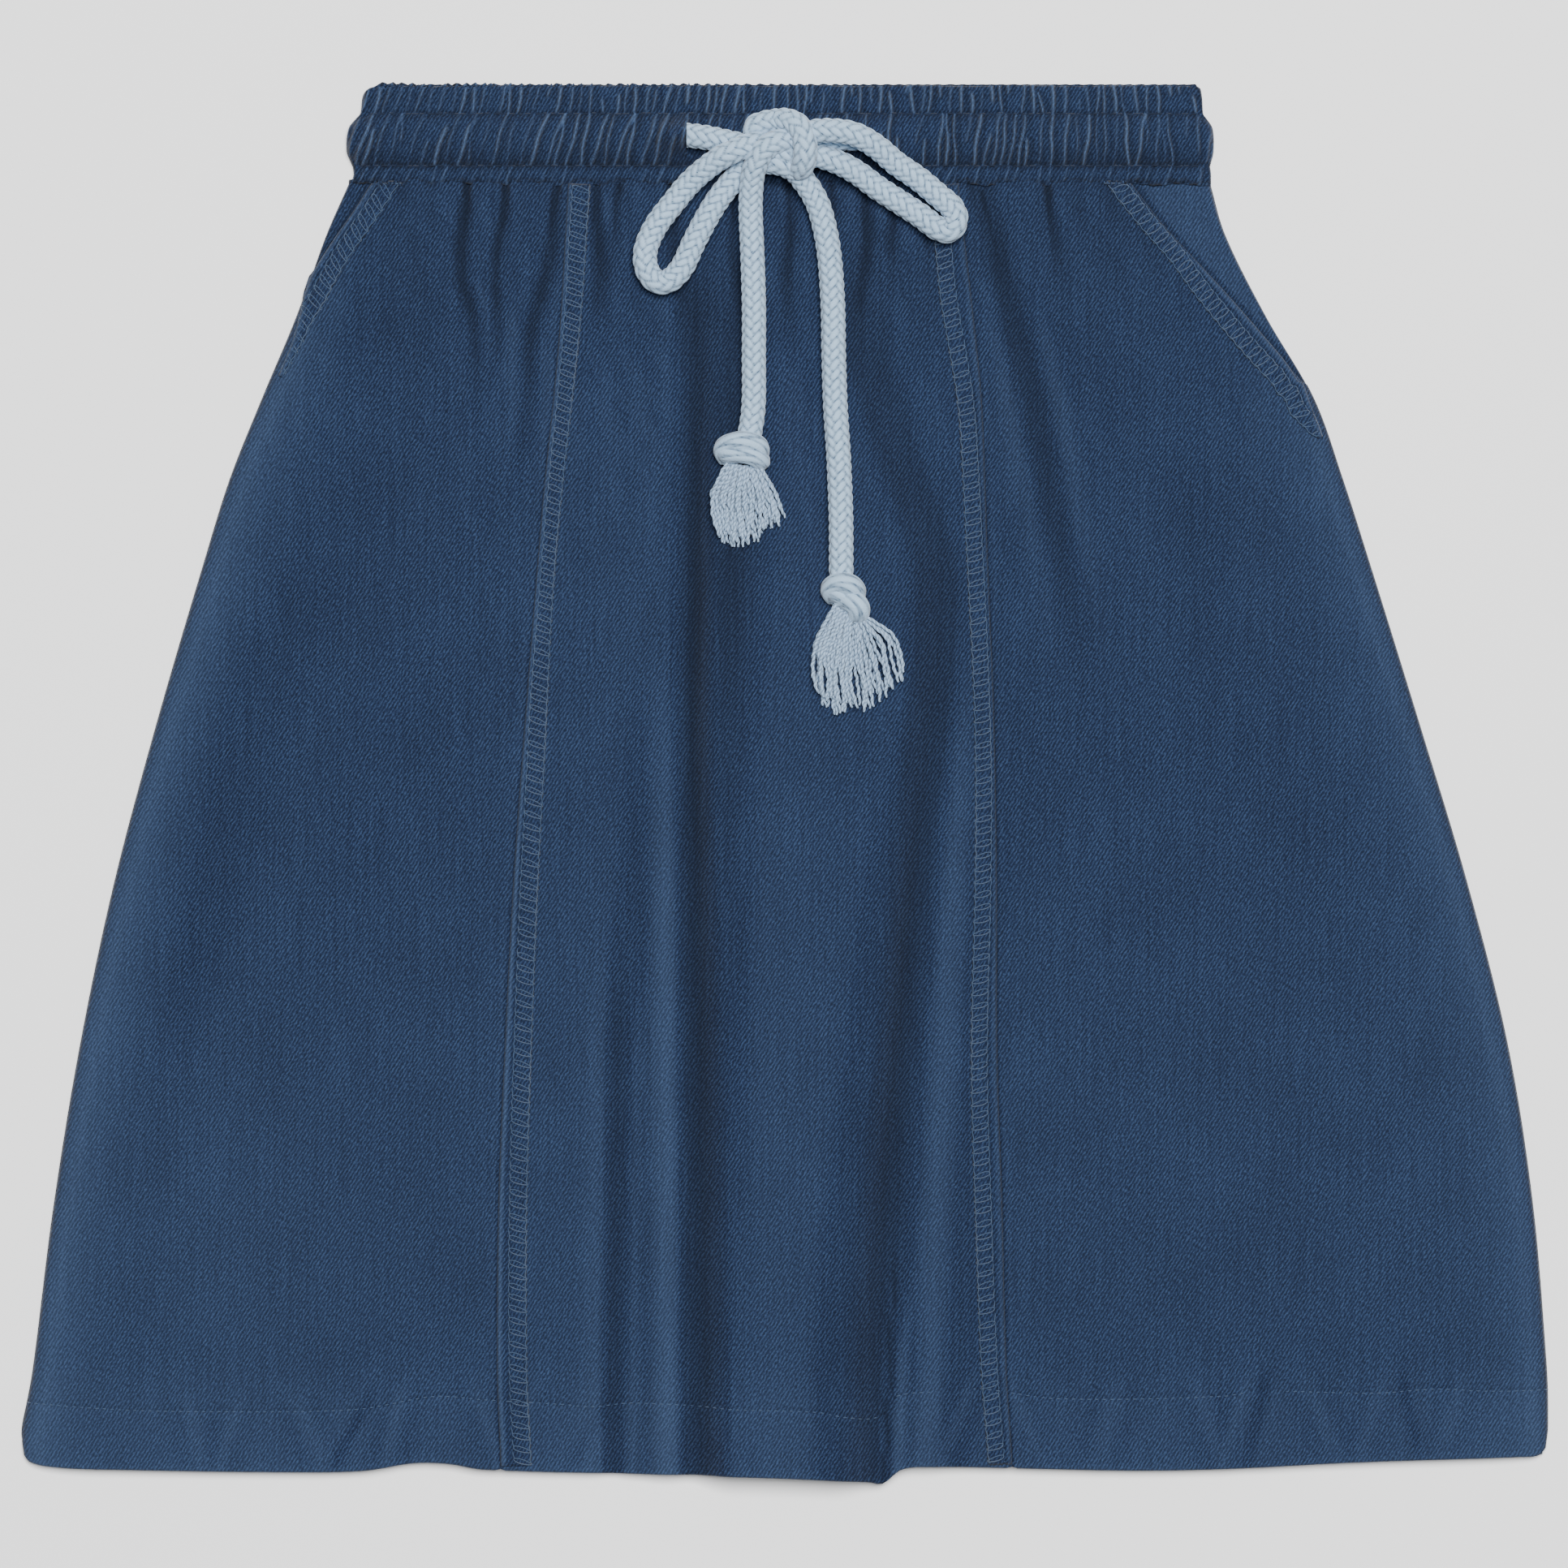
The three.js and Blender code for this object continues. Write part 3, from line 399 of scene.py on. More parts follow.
# The table is a plain pale top. A large softbox hangs above it, so the steep sides of the folds
# go dark, and a pale room softens what it leaves.
TABLE_SIZE = 8.0
TABLE_DROP = 0.2 * MM
SOFTBOX_SIZE = 1.3
SOFTBOX_ENERGY = 210.0
SOFTBOX_PLACE = Vector((0.25, 0.6, 3.1))
ROOM_STRENGTH = 0.22
table_bm = bmesh.new()
bmesh.ops.create_grid(table_bm, x_segments=1, y_segments=1, size=TABLE_SIZE / 2)
bmesh.ops.translate(table_bm, verts=table_bm.verts, vec=(0, 0, -TABLE_DROP))
table = finished("tabletop", table_bm, plain_material("matt white tabletop", "#FAFAFA", 0.9, 0.2, 0.0))
softbox_data = bpy.data.lights.new("overhead softbox", "AREA")
softbox_data.shape = "SQUARE"
softbox_data.size = SOFTBOX_SIZE
softbox_data.energy = SOFTBOX_ENERGY
softbox = bpy.data.objects.new("overhead softbox", softbox_data)
softbox.location = SOFTBOX_PLACE
softbox.rotation_euler = (-SOFTBOX_PLACE).to_track_quat("-Z", "Y").to_euler()
bpy.context.collection.objects.link(softbox)
world = bpy.data.worlds.new("pale room")
world.use_nodes = True
room = world.node_tree.nodes["Background"].inputs
room[0].default_value = hex_colour("#F2F5FA")
room[1].default_value = ROOM_STRENGTH
bpy.context.scene.world = world


# The denim is a light 2/1 twill of indigo warp over a paler weft, washed soft. Its twill lines lie
# a millimetre apart, and pale weft shows between them in short flecks. A tone given per point pales
# ridges and folded edges, as rubbed wear and painted highlight, and darkens troughs as painted shade.
TWILL_SPACING = 1.0
TWILL_LEAN = math.radians(32)
WAVE_EACH_MM = math.pi / 10
# Tints for that tone: the paler one is rubbed wear and painted highlight, the near-black one painted shade.
RUBBED_AND_HIGHLIGHT = "#4C6180"
PAINTED_SHADE_TINT = "#080F1B"


def mapped(tree, place, *scale, turn=0):
    """A place turned about Z and scaled."""
    return add_node(tree, "ShaderNodeMapping", [(place, 0)], in_2=(0, 0, turn), in_3=scale).outputs[0]


def tinted(tree, share, colour, code):
    """A colour with a share of a fixed one."""
    return add_node(tree, "ShaderNodeMix", [(share, 0), (colour, 6)], data_type="RGBA",
                    in_7=hex_colour(code)).outputs[2]


def denim_material(name, dark, middle, light):
    """Washed denim on the piece's own UV map, whose units are metres of cloth."""
    made, tree, shader = new_material(name, roughness=0.9, specular=0.12, sheen=0.08)
    place = add_node(tree, "ShaderNodeUVMap", uv_map="UVMap").outputs[0]
    cloth = mapped(tree, place, 1 / MM, 1 / MM, 1 / MM)
    across_twill = mapped(tree, cloth, 1, 1, 1, turn=TWILL_LEAN)
    twill = add_node(tree, "ShaderNodeTexWave", [(across_twill, 0)], in_1=WAVE_EACH_MM / TWILL_SPACING,
                     in_2=3.0, in_3=2.5, in_4=2.2).outputs["Fac"]
    fleck = noise(tree, mapped(tree, across_twill, 1.4, 0.7, 1), 1.45, 3.0, roughness=0.75)
    slub = noise(tree, mapped(tree, cloth, 0.9, 0.03, 1), 1.0, 3.0)
    wash = noise(tree, cloth, 0.03, 5.0)
    weave = blend(tree, 0.8, twill, fleck)
    washed = blend(tree, 0.07, blend(tree, 0.12, weave, slub), wash)
    ground = colour_ramp(tree, washed, (0.36, dark), (0.5, middle), (0.655, light))
    fade_and_painted_light = add_node(tree, "ShaderNodeAttribute", attribute_name="fade_and_painted_light").outputs["Fac"]
    catching = add_node(tree, "ShaderNodeMath", [(weave, 0)], operation="ADD", in_1=0.2).outputs[0]
    rubbed_and_highlight_share = add_node(tree, "ShaderNodeMath", [(fade_and_painted_light, 0), (catching, 1)], operation="MULTIPLY",
                      use_clamp=True).outputs[0]
    painted_shade_share = add_node(tree, "ShaderNodeMath", [(fade_and_painted_light, 0)], operation="MULTIPLY", in_1=-1.0,
                      use_clamp=True).outputs[0]
    # Positive tone mixes in the paler tint (rubbed wear and painted highlight); negative tone mixes in the
    # near-black one (painted shade).
    worn_and_shaded = tinted(tree, painted_shade_share, tinted(tree, rubbed_and_highlight_share, ground, RUBBED_AND_HIGHLIGHT), PAINTED_SHADE_TINT)
    tree.links.new(worn_and_shaded, shader.inputs["Base Color"])
    small_relief(tree, shader, weave, 0.5, 0.25 * MM)
    return made


denim = denim_material("washed indigo denim twill", "#0C1525", "#18233A", "#2D3F5C")
denim_inside = denim_material("wrong side of the denim", "#2A3A52", "#44566F", "#6B7E94")


def curve_through(rows, column):
    """A smooth curve through one column of a table, as a function of the first column."""
    pairs = np.array([(row[0], row[column]) for row in rows], dtype=float)
    place, value = pairs[np.argsort(pairs[:, 0])].T
    slope = np.gradient(value, place)
    slope[1:-1] = (value[2:] - value[:-2]) / (place[2:] - place[:-2])

    def at(x):
        x = np.clip(x, place[0], place[-1])
        i = np.clip(np.searchsorted(place, x) - 1, 0, len(place) - 2)
        step = place[i + 1] - place[i]
        t = (x - place[i]) / step
        return ((2 * t ** 3 - 3 * t ** 2 + 1) * value[i] + (t ** 3 - 2 * t ** 2 + t) * step * slope[i]
                + (3 * t ** 2 - 2 * t ** 3) * value[i + 1] + (t ** 3 - t ** 2) * step * slope[i + 1])
    return at


def ease(t):
    """Rises smoothly from 0 to 1."""
    t = np.clip(t, 0, 1)
    return t * t * (3 - 2 * t)


def bump_at(away, width):
    """A soft ridge, 1 at its crest."""
    return np.exp(-(away / width) ** 2)


def rounded(away, radius):
    """A quarter round: 0 at an edge, 1 from the radius on."""
    return np.sqrt(1 - (1 - np.clip(away / radius, 0, 1)) ** 2)


def held_above(least, value, soft):
    """The value, bent softly so that it stays above the least one."""
    over = value - least
    return least + (over + np.sqrt(over ** 2 + soft)) / 2


def spaced(first, last, coarse, fine, near, reach):
    """Places from first to last, closer together within reach of those in near."""
    way = 1 if last > first else -1
    places = [first]
    while (last - places[-1]) * way > 0:
        ahead = places[-1] + way * coarse / 2
        step = fine if min(abs(ahead - p) for p in near) < reach else coarse
        places.append(places[-1] + way * step)
    places[-1] = last
    return np.array(places)


def cloth_sheet(node, across, down, place, thick, material=denim, slot="denim", kind="cloth"):
    """Cloth for a node, from a grid whose values place turns into x, y, z and a tone of wear and painted
    light.
    """
    bm = bmesh.new()
    bmesh.ops.create_grid(bm, x_segments=len(across) - 1, y_segments=len(down) - 1, size=1)
    bm.loops.layers.uv.new("UVMap")
    for face in bm.faces:
        face.smooth = True
    made = finished(f"{node}_{kind}", bm, material)
    mesh = made.data
    spots = np.empty(len(mesh.vertices) * 3)
    mesh.vertices.foreach_get("co", spots)
    i = np.rint((spots[0::3] + 1) / 2 * (len(across) - 1)).astype(int)
    j = np.rint((1 - spots[1::3]) / 2 * (len(down) - 1)).astype(int)
    x, y, z, fade_and_painted_light = place(across[i], down[j])
    placed = np.stack([x, y, z], axis=1) * MM
    mesh.vertices.foreach_set("co", placed.ravel())
    corners = np.empty(len(mesh.loops), dtype=int)
    mesh.loops.foreach_get("vertex_index", corners)
    mesh.uv_layers["UVMap"].data.foreach_set("uv", placed[corners, :2].ravel())
    mesh.attributes.new("fade_and_painted_light", "FLOAT", "POINT").data.foreach_set("value", fade_and_painted_light + 0 * x)
    mesh.update()
    wall = made.modifiers.new("cloth thickness", "SOLIDIFY")
    wall.thickness = thick * MM
    wall.offset = -1
    return belongs(made, slot, node)


# The back is one flat piece of the same denim, lying on the table with its outer side down; only
# its wrong side could be seen, through the hem. Its waistband is gathered on the same elastic.
CLOTH = 1.2
SEAM_Y = 185.0
HEM_Y = -210.0
BACK_HEM_Y = -207.0
STATIONS = [
    # y, left side, left seam, right seam, right side
    (185, -134.7, -66.7, 53.5, 131.5), (169, -141.7, -67.6, 55.2, 136.2), (144, -150.7, -69, 58, 148.7),
    (119, -161.2, -71.2, 60.5, 163.2), (94, -171.2, -73.8, 61.6, 172.2), (69, -179, -76, 62.4, 180.2),
    (19, -193.7, -80, 64.4, 195.7), (-31, -207, -83.6, 65.2, 210.7), (-81, -217.5, -86.2, 65.3, 223.2),
    (-131, -225.7, -88.2, 66.9, 231), (-181, -232, -88.6, 68.2, 235), (-204, -235.5, -87.7, 69.7, 235.5),
    (-210, -234.6, -87.5, 70, 234.6),
]
BAND = [
    # y, left, right, height of the front over the table, depth of its gathers
    (185, -133.6, 131.5, 3.2, 0.2), (185.8, -133.5, 131.5, 4.7, 0.5), (188, -133, 131.5, 5.4, 0.7),
    (189.6, -133.2, 131.3, 4.9, 0.5), (190.2, -133.3, 131.2, 4.3, 0.4), (191.4, -133.8, 131.5, 5.8, 0.8),
    (195, -135.2, 132.3, 7.2, 1.2), (202, -134.6, 132, 7.2, 1.2), (205.2, -132.2, 130, 5.6, 0.9),
    (206.2, -131.2, 129.2, 4.4, 0.4), (207.2, -130.8, 129, 5.2, 0.8), (211, -130.4, 128.8, 5.6, 1.2),
    (213.2, -129.6, 128.5, 5.4, 1.1), (214.4, -128, 128.2, 5, 1), (215.2, -124.5, 127.2, 4.2, 0.8),
]
BACK_BAND = 2.2
GATHER_DEPTH = 0.3
BACK_INSET = 1.4
BACK_BAND_INSET = 0.8
side_left, seam_left, seam_right, side_right = (curve_through(STATIONS, k) for k in (1, 2, 3, 4))
band_left, band_right, band_height, band_depth = (curve_through(BAND, k) for k in (1, 2, 3, 4))


def back_place(s, y):
    """The back panel: flat, its seamed sides drawn in under the front's."""
    left, right = side_left(y) + BACK_INSET, side_right(y) - BACK_INSET
    return left + (right - left) * s, y, CLOTH + 0 * s, 0 * s


def back_band_place(s, y):
    """The back of the waistband, with shallow gathers."""
    left, right = band_left(y) + BACK_BAND_INSET, band_right(y) - BACK_BAND_INSET
    x = left + (right - left) * s
    gathers = 0.5 + 0.5 * np.sin(1.9 * x + 0.5 * (y - 200) + 1.3 * np.sin(0.31 * x))
    # The gathers' troughs are darkened in the tone as painted shade.
    return x, y, BACK_BAND - GATHER_DEPTH * (1 - gathers), -0.5 * (1 - gathers)


back_panel = cloth_sheet("back_panel", np.linspace(0, 1, 60), np.linspace(SEAM_Y, BACK_HEM_Y, 90),
                         back_place, CLOTH, denim_inside, "denim_wrong_side")
back_band = cloth_sheet("waistband_back", np.linspace(0, 1, 300), np.linspace(185.3, 215.35, 14),
                        back_band_place, BACK_BAND - GATHER_DEPTH)


# The front is three flared pieces of denim laid over the back, standing off it in soft folds with
# one wide raised pleat down the middle. Their hem is turned up 21 mm inside and stitched.
LOFT = 4.0
ROLL = 6.0
SEAM_PINCH = 0.5
SEAM_PINCH_LENGTH = 12.0
FRONT_LEVEL = 1.5
PANEL_CLOTH = 1.0
LOWEST_FRONT = 2.3
SIDE_LEVEL = 1.1
SIDE_ROUNDING = 2.4
HEM_DEPTH = 21.0
HEM_FOLD = 1.6
HEM_BELOW = 2.3
LOWEST_HEM = 1.6
HEM_DRAWN_IN = 1.5
HEM = [
    # x, y
    (-236, -204.5), (-233.5, -208.4), (-224, -210.3), (-204, -211), (-154, -211.7), (-130, -211.3),
    (-114, -208.9), (-103, -209.2), (-93, -210.9), (-44, -212.2), (-14, -212.5), (16, -213.7), (26, -214.6),
    (30.2, -215.2), (35.8, -210.8), (46, -210), (106, -211.2), (136, -210.7), (176, -208.7), (226, -207.1),
    (232.5, -206.6), (236, -203.5),
]
HEM_STITCHES = [
    # x, y
    (-233.2, -191), (-202.5, -193), (-174.8, -193.5), (-132, -192.8), (-107.8, -188.8), (-93.2, -189.8),
    (-69.2, -191.2), (-58.8, -192), (-46.2, -190.8), (-15.5, -192.2), (10, -193), (18, -194.5),
    (28.8, -195), (33.2, -189), (51.5, -187), (61, -186.5), (83.8, -189.5), (134.5, -188.8), (145, -187.2),
    (181.5, -187.8), (200.8, -186.5), (216, -187.2), (235.2, -187),
]
PLEAT = [
    # y, left foot, right foot, height, width of its shoulders
    (185, -25, 26, 0.4, 10), (160, -28, 27, 2.6, 10), (130, -29.2, 29.5, 4.6, 10),
    (101, -29.6, 38.2, 5.8, 10), (71, -30, 48.2, 6.8, 10), (46, -30.2, 49.5, 7.4, 10),
    (21, -30.5, 47, 7.8, 10), (-34, -30.5, 42.5, 8.4, 12), (-84, -30.5, 39, 8.8, 14),
    (-121, -30.5, 36, 9, 15), (-159, -30.5, 33.5, 9, 16), (-216, -30.5, 31, 9, 16),
]
FOLDS = [
    # x and y at the top, middle and bottom, half width, height; those from 185 start at the waist seam
    (-37, 45, -36.5, -80, -36, -216, 7, 2.2),
    (58, 70, 50, -60, 42, -216, 8, 2),
    (-51, -30, -52, -120, -53, -216, 4.5, -1.5),
    (60, 185, 76, 120, 95, 15, 6, -2.6),
    (-105, 135, -162, 29, -205, -140, 19, -2.4),
    (116, 125, 128, 60, 138, -10, 14, -1.3),
    (-98, 185, -99, 155, -92, 104, 3.2, -1.8),
    (-86, 185, -89, 145, -92, 112, 2.6, -1.3),
    (-70, 185, -77, 138, -83, 88, 3.5, -1.6),
    (-58, 185, -58, 160, -57.5, 138, 3, -1.7),
    (-51, 185, -53, 170, -54, 152, 2.5, -1.1),
    (-35, 185, -32, 150, -30, 118, 4, -1.8),
    (-16, 185, -15, 155, -14, 128, 3, -1.3),
    (1, 185, 2, 152, 3, 124, 3, -1.4),
    (14, 185, 15, 172, 15, 156, 2.5, -1.1),
    (25, 185, 24.5, 155, 24, 128, 3.5, -1.6),
    (34, 185, 33.5, 165, 33, 145, 3, -1.4),
    (45, 185, 44.5, 175, 44, 162, 2.5, -1),
    (81, 185, 82, 168, 84, 150, 3, -1.2),
]
PAST_HEM = -216
SHORT_FOLD = 120
HEM_PUCKERS = [
    # x at the stitching, lean, half width, height
    (-183, -0.2, 3, 0.5), (-169, 0.3, 2.2, 0.4), (-149, -0.4, 3.4, 0.6), (-130, 0.5, 2.6, -0.5),
    (-119, 0.2, 2.8, 0.7), (-94, -0.3, 2.6, 0.5), (-79, 0.4, 2.4, 0.4), (-56, 0.5, 3.2, -0.5),
    (-22, -0.3, 3.4, 0.5), (20, -0.3, 2.6, 0.5), (56, 0.3, 3, 0.6), (71, -0.4, 2.4, 0.4),
    (101, 0.2, 3.6, 0.6), (128, -0.3, 2.6, 0.5), (141, 0.3, 2.2, 0.5), (147, 0.2, 2.4, -0.5),
    (162, -0.4, 3, 0.5), (183, 0.3, 2.8, 0.4), (191, -0.2, 2.2, -0.4), (208, 0.3, 3, 0.5),
]
MOUTHS = {
    # y, x of the folded edge, down to where it meets the side
    "left": [(187, -125.8), (176.2, -132.6), (166.2, -139.6), (156.3, -146.2), (146, -152.8)],
    "right": [(187, 105), (182.5, 108), (171.2, 116.7), (161.2, 125.9), (148.8, 137.4), (123.5, 159.6),
              (115, 167)],
}
MOUTH_ENDS = {"left": 156.5, "right": 124.0}
mouth_line = {side: curve_through(rows, 1) for side, rows in MOUTHS.items()}
hem_line = curve_through(HEM, 1)
hem_stitch_line = curve_through(HEM_STITCHES, 1)
pleat_left, pleat_right, pleat_height, pleat_shoulder = (curve_through(PLEAT, k) for k in (1, 2, 3, 4))


def fold_height(x, y, x0, y0, x1, y1, x2, y2, width, height):
    """One soft fold: a ridge or trough along a line of two stretches, sharper at the waist seam."""
    upper = y > y1
    t = np.where(upper, (y - y1) / (y0 - y1), (y1 - y) / (y1 - y2))
    centre = x1 + (np.where(upper, x0, x2) - x1) * t
    length = y0 - y2
    start = 1.0 if y0 == SEAM_Y else ease((y0 - y) / (0.35 * length))
    end = 1.0 if y2 == PAST_HEM else ease((y - y2) / (0.6 * length))
    pinched = 0.0
    if y0 == SEAM_Y and length < SHORT_FOLD:
        below = SEAM_Y - y
        pinched = np.exp(-below / 9)
        centre = centre + 1.3 * np.sin(below / 8.5 + x0) * ease(below / 14)
        height = 0.85 * height
    narrow = width * (0.9 - 0.5 * pinched)
    inside = (y <= y0 + 1) & (y >= y2 - 1)
    return np.where(inside, height * (1 + 0.3 * pinched) * start * end * bump_at(x - centre, narrow), 0.0)


def from_side(x, y):
    """How far in a place lies from the nearer side of the skirt."""
    return np.minimum(x - side_left(y), side_right(y) - x)


def stand(x, y):
    """Height of the front's underside over the back, in millimetres."""
    roll = 1 - np.exp(-np.maximum(from_side(x, y), 0) / ROLL)
    pinch = 1 - SEAM_PINCH * np.exp((y - SEAM_Y) / SEAM_PINCH_LENGTH)
    soft = 3 * ease((y + 60) / 80)
    rise = (x - pleat_left(y)) / pleat_shoulder(y)
    fall = (pleat_right(y) + soft - x) / (pleat_shoulder(y) + 2 * soft)
    pleat = pleat_height(y) * ease(rise) * ease(fall)
    height = LOFT * roll * pinch + pleat * roll
    for fold in FOLDS:
        height = height + fold_height(x, y, *fold) * roll
    return held_above(0, height, 0.2)


def small_creases(x, y):
    """The hem fold's crisp line, puckers at the hem and seams, and the drawn-in stitch lines."""
    beside_pleat = x - pleat_right(y)
    relief = bump_at(beside_pleat - 3.2, 2.6) - 1.3 * bump_at(beside_pleat + 0.2, 0.8)
    relief = relief * ease((-140 - y) / 45)
    below = hem_stitch_line(x) - y
    in_hem = 0.55 * ease((below + 9) / 10) * (1 - 0.5 * ease((below - 12) / 8))
    for at_stitches, lean, width, height in HEM_PUCKERS:
        relief = relief + height * in_hem * bump_at(x - at_stitches + lean * below, width)
    relief = relief - 0.45 * bump_at(below, 0.7)
    below_waist = np.maximum(SEAM_Y - y, 0)
    lumps = np.sin(0.52 * x + 0.2 * y + 2 * np.sin(0.07 * y + 0.05 * x))
    lumps = lumps * np.sin(0.17 * y - 0.1 * x + np.sin(0.13 * x))
    relief = relief + 0.32 * lumps * np.exp(-below_waist / 45)
    for seam, phase in ((seam_left, 0), (seam_right, 2)):
        away = np.abs(x - seam(y))
        ripple = np.sin(0.83 * y + phase + 1.2 * np.sin(0.21 * y)) * (0.6 + 0.4 * np.sin(0.11 * y + phase))
        relief = relief + 0.16 * ripple * np.exp(-away / 5) - 0.18 * bump_at(away, 0.9)
    for x0, y0, x1, y1, *_ in FOLDS:
        if y0 == SEAM_Y:
            centre = x1 + (x0 - x1) * (y - y1) / (y0 - y1)
            relief = relief - bump_at(x - centre, 0.9) * np.exp(-below_waist / 8)
    return relief - 1.1 * np.exp(-np.abs(SEAM_Y - y) / 1.1)


def front_surface(x, y):
    """Height of the front's outer face over the table, turned down to the back at its sides."""
    top = held_above(LOWEST_FRONT, FRONT_LEVEL + stand(x, y) + CLOTH + small_creases(x, y), 0.05)
    return SIDE_LEVEL + (top - SIDE_LEVEL) * rounded(from_side(x, y), SIDE_ROUNDING)


RELIEF_WEAR_AND_PAINTED_LIGHT = [
    # reach to each side, height that gives the full tone, paler by on ridges (rubbed wear and painted
    # highlight), darker by in troughs (painted shade)
    (6, 1.2, 0.10, 0.25), (1.2, 0.3, 0.16, 0.38),
]


def wear_and_painted_light(x, y):
    """Tone of the front: paler on ridges, as rubbed wear and painted highlight, and darker in troughs and on
    the pleat's slopes, as painted shade; paler near the sides and towards the hem, darker towards the waist.
    """
    edge = from_side(x, y)
    # Paler near the sides, more so on the left.
    fade_and_painted_light = np.where(x < 0, 0.14 * bump_at(edge, 16), 0.06 * bump_at(edge, 26))
    # Ridges are paled, as rubbed wear and painted highlight; troughs are darkened, as painted shade.
    for reach, full, on_ridges, in_troughs in RELIEF_WEAR_AND_PAINTED_LIGHT:
        beside = 0.5 * (front_surface(x - reach, y) + front_surface(x + reach, y))
        relief = np.clip((front_surface(x, y) - beside) / full, -1, 1) * ((edge > 4) | (reach > 4))
        fade_and_painted_light = fade_and_painted_light + np.where(relief > 0, on_ridges, in_troughs) * relief
    # The pleat's two slopes are darkened as painted shade.
    high = bump_at(y - 85, 60)
    left_slope_shade = (0.34 + 0.3 * high) * bump_at(x - pleat_left(y) - 10.5 - 2 * high, 6.5 + 2 * high)
    right_slope_shade = 0.38 * bump_at(x - pleat_right(y) + 0.8 * pleat_shoulder(y), 0.45 * pleat_shoulder(y))
    fade_and_painted_light = fade_and_painted_light - (left_slope_shade + right_slope_shade) * ease((SEAM_Y - y) / 50)
    # Paler in broad areas left of the middle and low on the left, paler towards the hem, darker towards the
    # waist.
    fade_and_painted_light = fade_and_painted_light + 0.05 * bump_at(x + 28, 55) + 0.05 * bump_at(x + 175, 45) * ease((-40 - y) / 110)
    return fade_and_painted_light + 0.035 * ease((30 - y) / 150) + 0.05 * ease((-175 - y) / 20) - 0.12 * ease((y - 110) / 60)


def opened(side, side_line, inner_of):
    """A front's outer line: the pocket mouth's fold, and the side seam below the mouth's end."""
    def at(y):
        seam = side_line(y)
        return np.where(y > MOUTH_ENDS[side], inner_of(mouth_line[side](y), seam), seam)
    return at


open_left = opened("left", side_left, np.maximum)
open_right = opened("right", side_right, np.minimum)
under_band = SEAM_Y + 1.2


def front_sheet(node, left_line, right_line):
    """One front piece between two lines down the skirt; its rows go on round the hem and up inside it."""
    def place(s, level):
        past = np.maximum(HEM_Y - level, 0)
        level = np.maximum(level, HEM_Y)
        inner = level + np.maximum(past - HEM_FOLD, 0)
        drawn_in = HEM_DRAWN_IN * (past > 0)
        left, right = left_line(inner) + drawn_in, right_line(inner) - drawn_in
        x = left + (right - left) * s
        nearness = ease(((SEAM_Y - level) / (SEAM_Y - HEM_Y) - 0.85) / 0.15)
        edge = level + nearness * (hem_line(x) - HEM_Y)
        inside = np.clip(past / HEM_FOLD, 0, 1)
        y = edge - 0.55 * np.sin(math.pi * inside) + inner - level
        z = front_surface(x, y)
        under = np.maximum(z - HEM_BELOW, LOWEST_HEM)
        z = z + (under - z) * (0.5 - 0.5 * np.cos(math.pi * inside))
        return x, y, z, 0.06 * bump_at(y - hem_line(x), 1.2) + wear_and_painted_light(x, y)
    across = spaced(0.0, 1.0, 0.011, 0.005, (0.0, 1.0), 0.03)
    down = np.concatenate([spaced(under_band, HEM_Y, 1.5, 0.6, (SEAM_Y, -191.0, HEM_Y), 4.0),
                           HEM_Y - HEM_FOLD * np.linspace(0.25, 1, 4),
                           HEM_Y - HEM_FOLD - np.linspace(1, HEM_DEPTH, 10)])
    return cloth_sheet(node, across, down, place, PANEL_CLOTH)


front_centre = front_sheet("front_centre", seam_left, seam_right)
front_left = front_sheet("front_side_left", open_left, seam_left)
front_right = front_sheet("front_side_right", seam_right, open_right)


# The hip pieces show in the slanted pocket mouths. Each is a single layer of denim, the right one
# washed paler, that is sewn to the back at the side seam and runs a little way under the front.
POCKET_OVERLAP = 5.0
HIP_LEVEL = 1.5
HIP_CLOTH = 0.8
HIP_ROUNDING = 1.8
HIP_ENDS = {"left": 154.0, "right": 121.0}
PALER = {"left": 0.0, "right": 0.12}


def hip_piece(side, side_line, inward):
    """One hip piece, rounded down to the back at the side."""
    def place(s, y):
        outer = side_line(y) + 0.2 * inward
        mouth = mouth_line[side](y)
        inner = mouth + POCKET_OVERLAP * inward
        left, right = np.minimum(outer, inner), np.maximum(outer, inner)
        x = left + (right - left) * s
        ripple = 0.15 * np.sin(0.35 * y + 0.25 * x)
        shaded = -0.55 * ease(1 - (mouth - x) * inward / 3.5)
        z = HIP_CLOTH + (HIP_LEVEL + ripple) * rounded(np.abs(x - outer), HIP_ROUNDING)
        return x, y, z, PALER[side] + shaded
    return cloth_sheet(f"hip_piece_{side}", np.linspace(0, 1, 24),
                       np.linspace(under_band, HIP_ENDS[side], 50), place, HIP_CLOTH)


hip_left = hip_piece("left", side_left, 1)
hip_right = hip_piece("right", side_right, -1)


# Both front seams are sewn with their allowances outside, pressed towards the middle, and the pocket
# mouths are turned out the same way. The raw edges of these strips are overlocked in blue thread.
ALLOWANCES = [
    # y, left seam, right seam, left pocket, right pocket
    (185, 6.8, 8.8, 8.7, 7.6), (166, 6.6, 9.4, 8.8, 7.9), (156, 6.5, 9.6, 9, 10.2),
    (150, 6.4, 9.6, 7.3, 10.9), (143, 6.3, 9.2, 4.6, 11.2), (134, 6.2, 8.6, 2.8, 11),
    (122, 6, 7.8, 1.4, 9.5), (110, 5.8, 7.2, 1.2, 4), (106, 5.8, 7.1, 1.2, 1.2), (60, 5.6, 6.3, 1.2, 1.2),
    (0, 7.2, 6.2, 1.2, 1.2), (-110, 8.6, 8.4, 1.2, 1.2), (-210, 9.5, 7.4, 1.2, 1.2),
]
STRIP_CLOTH = 0.8
STRIP_LIFT = 0.95
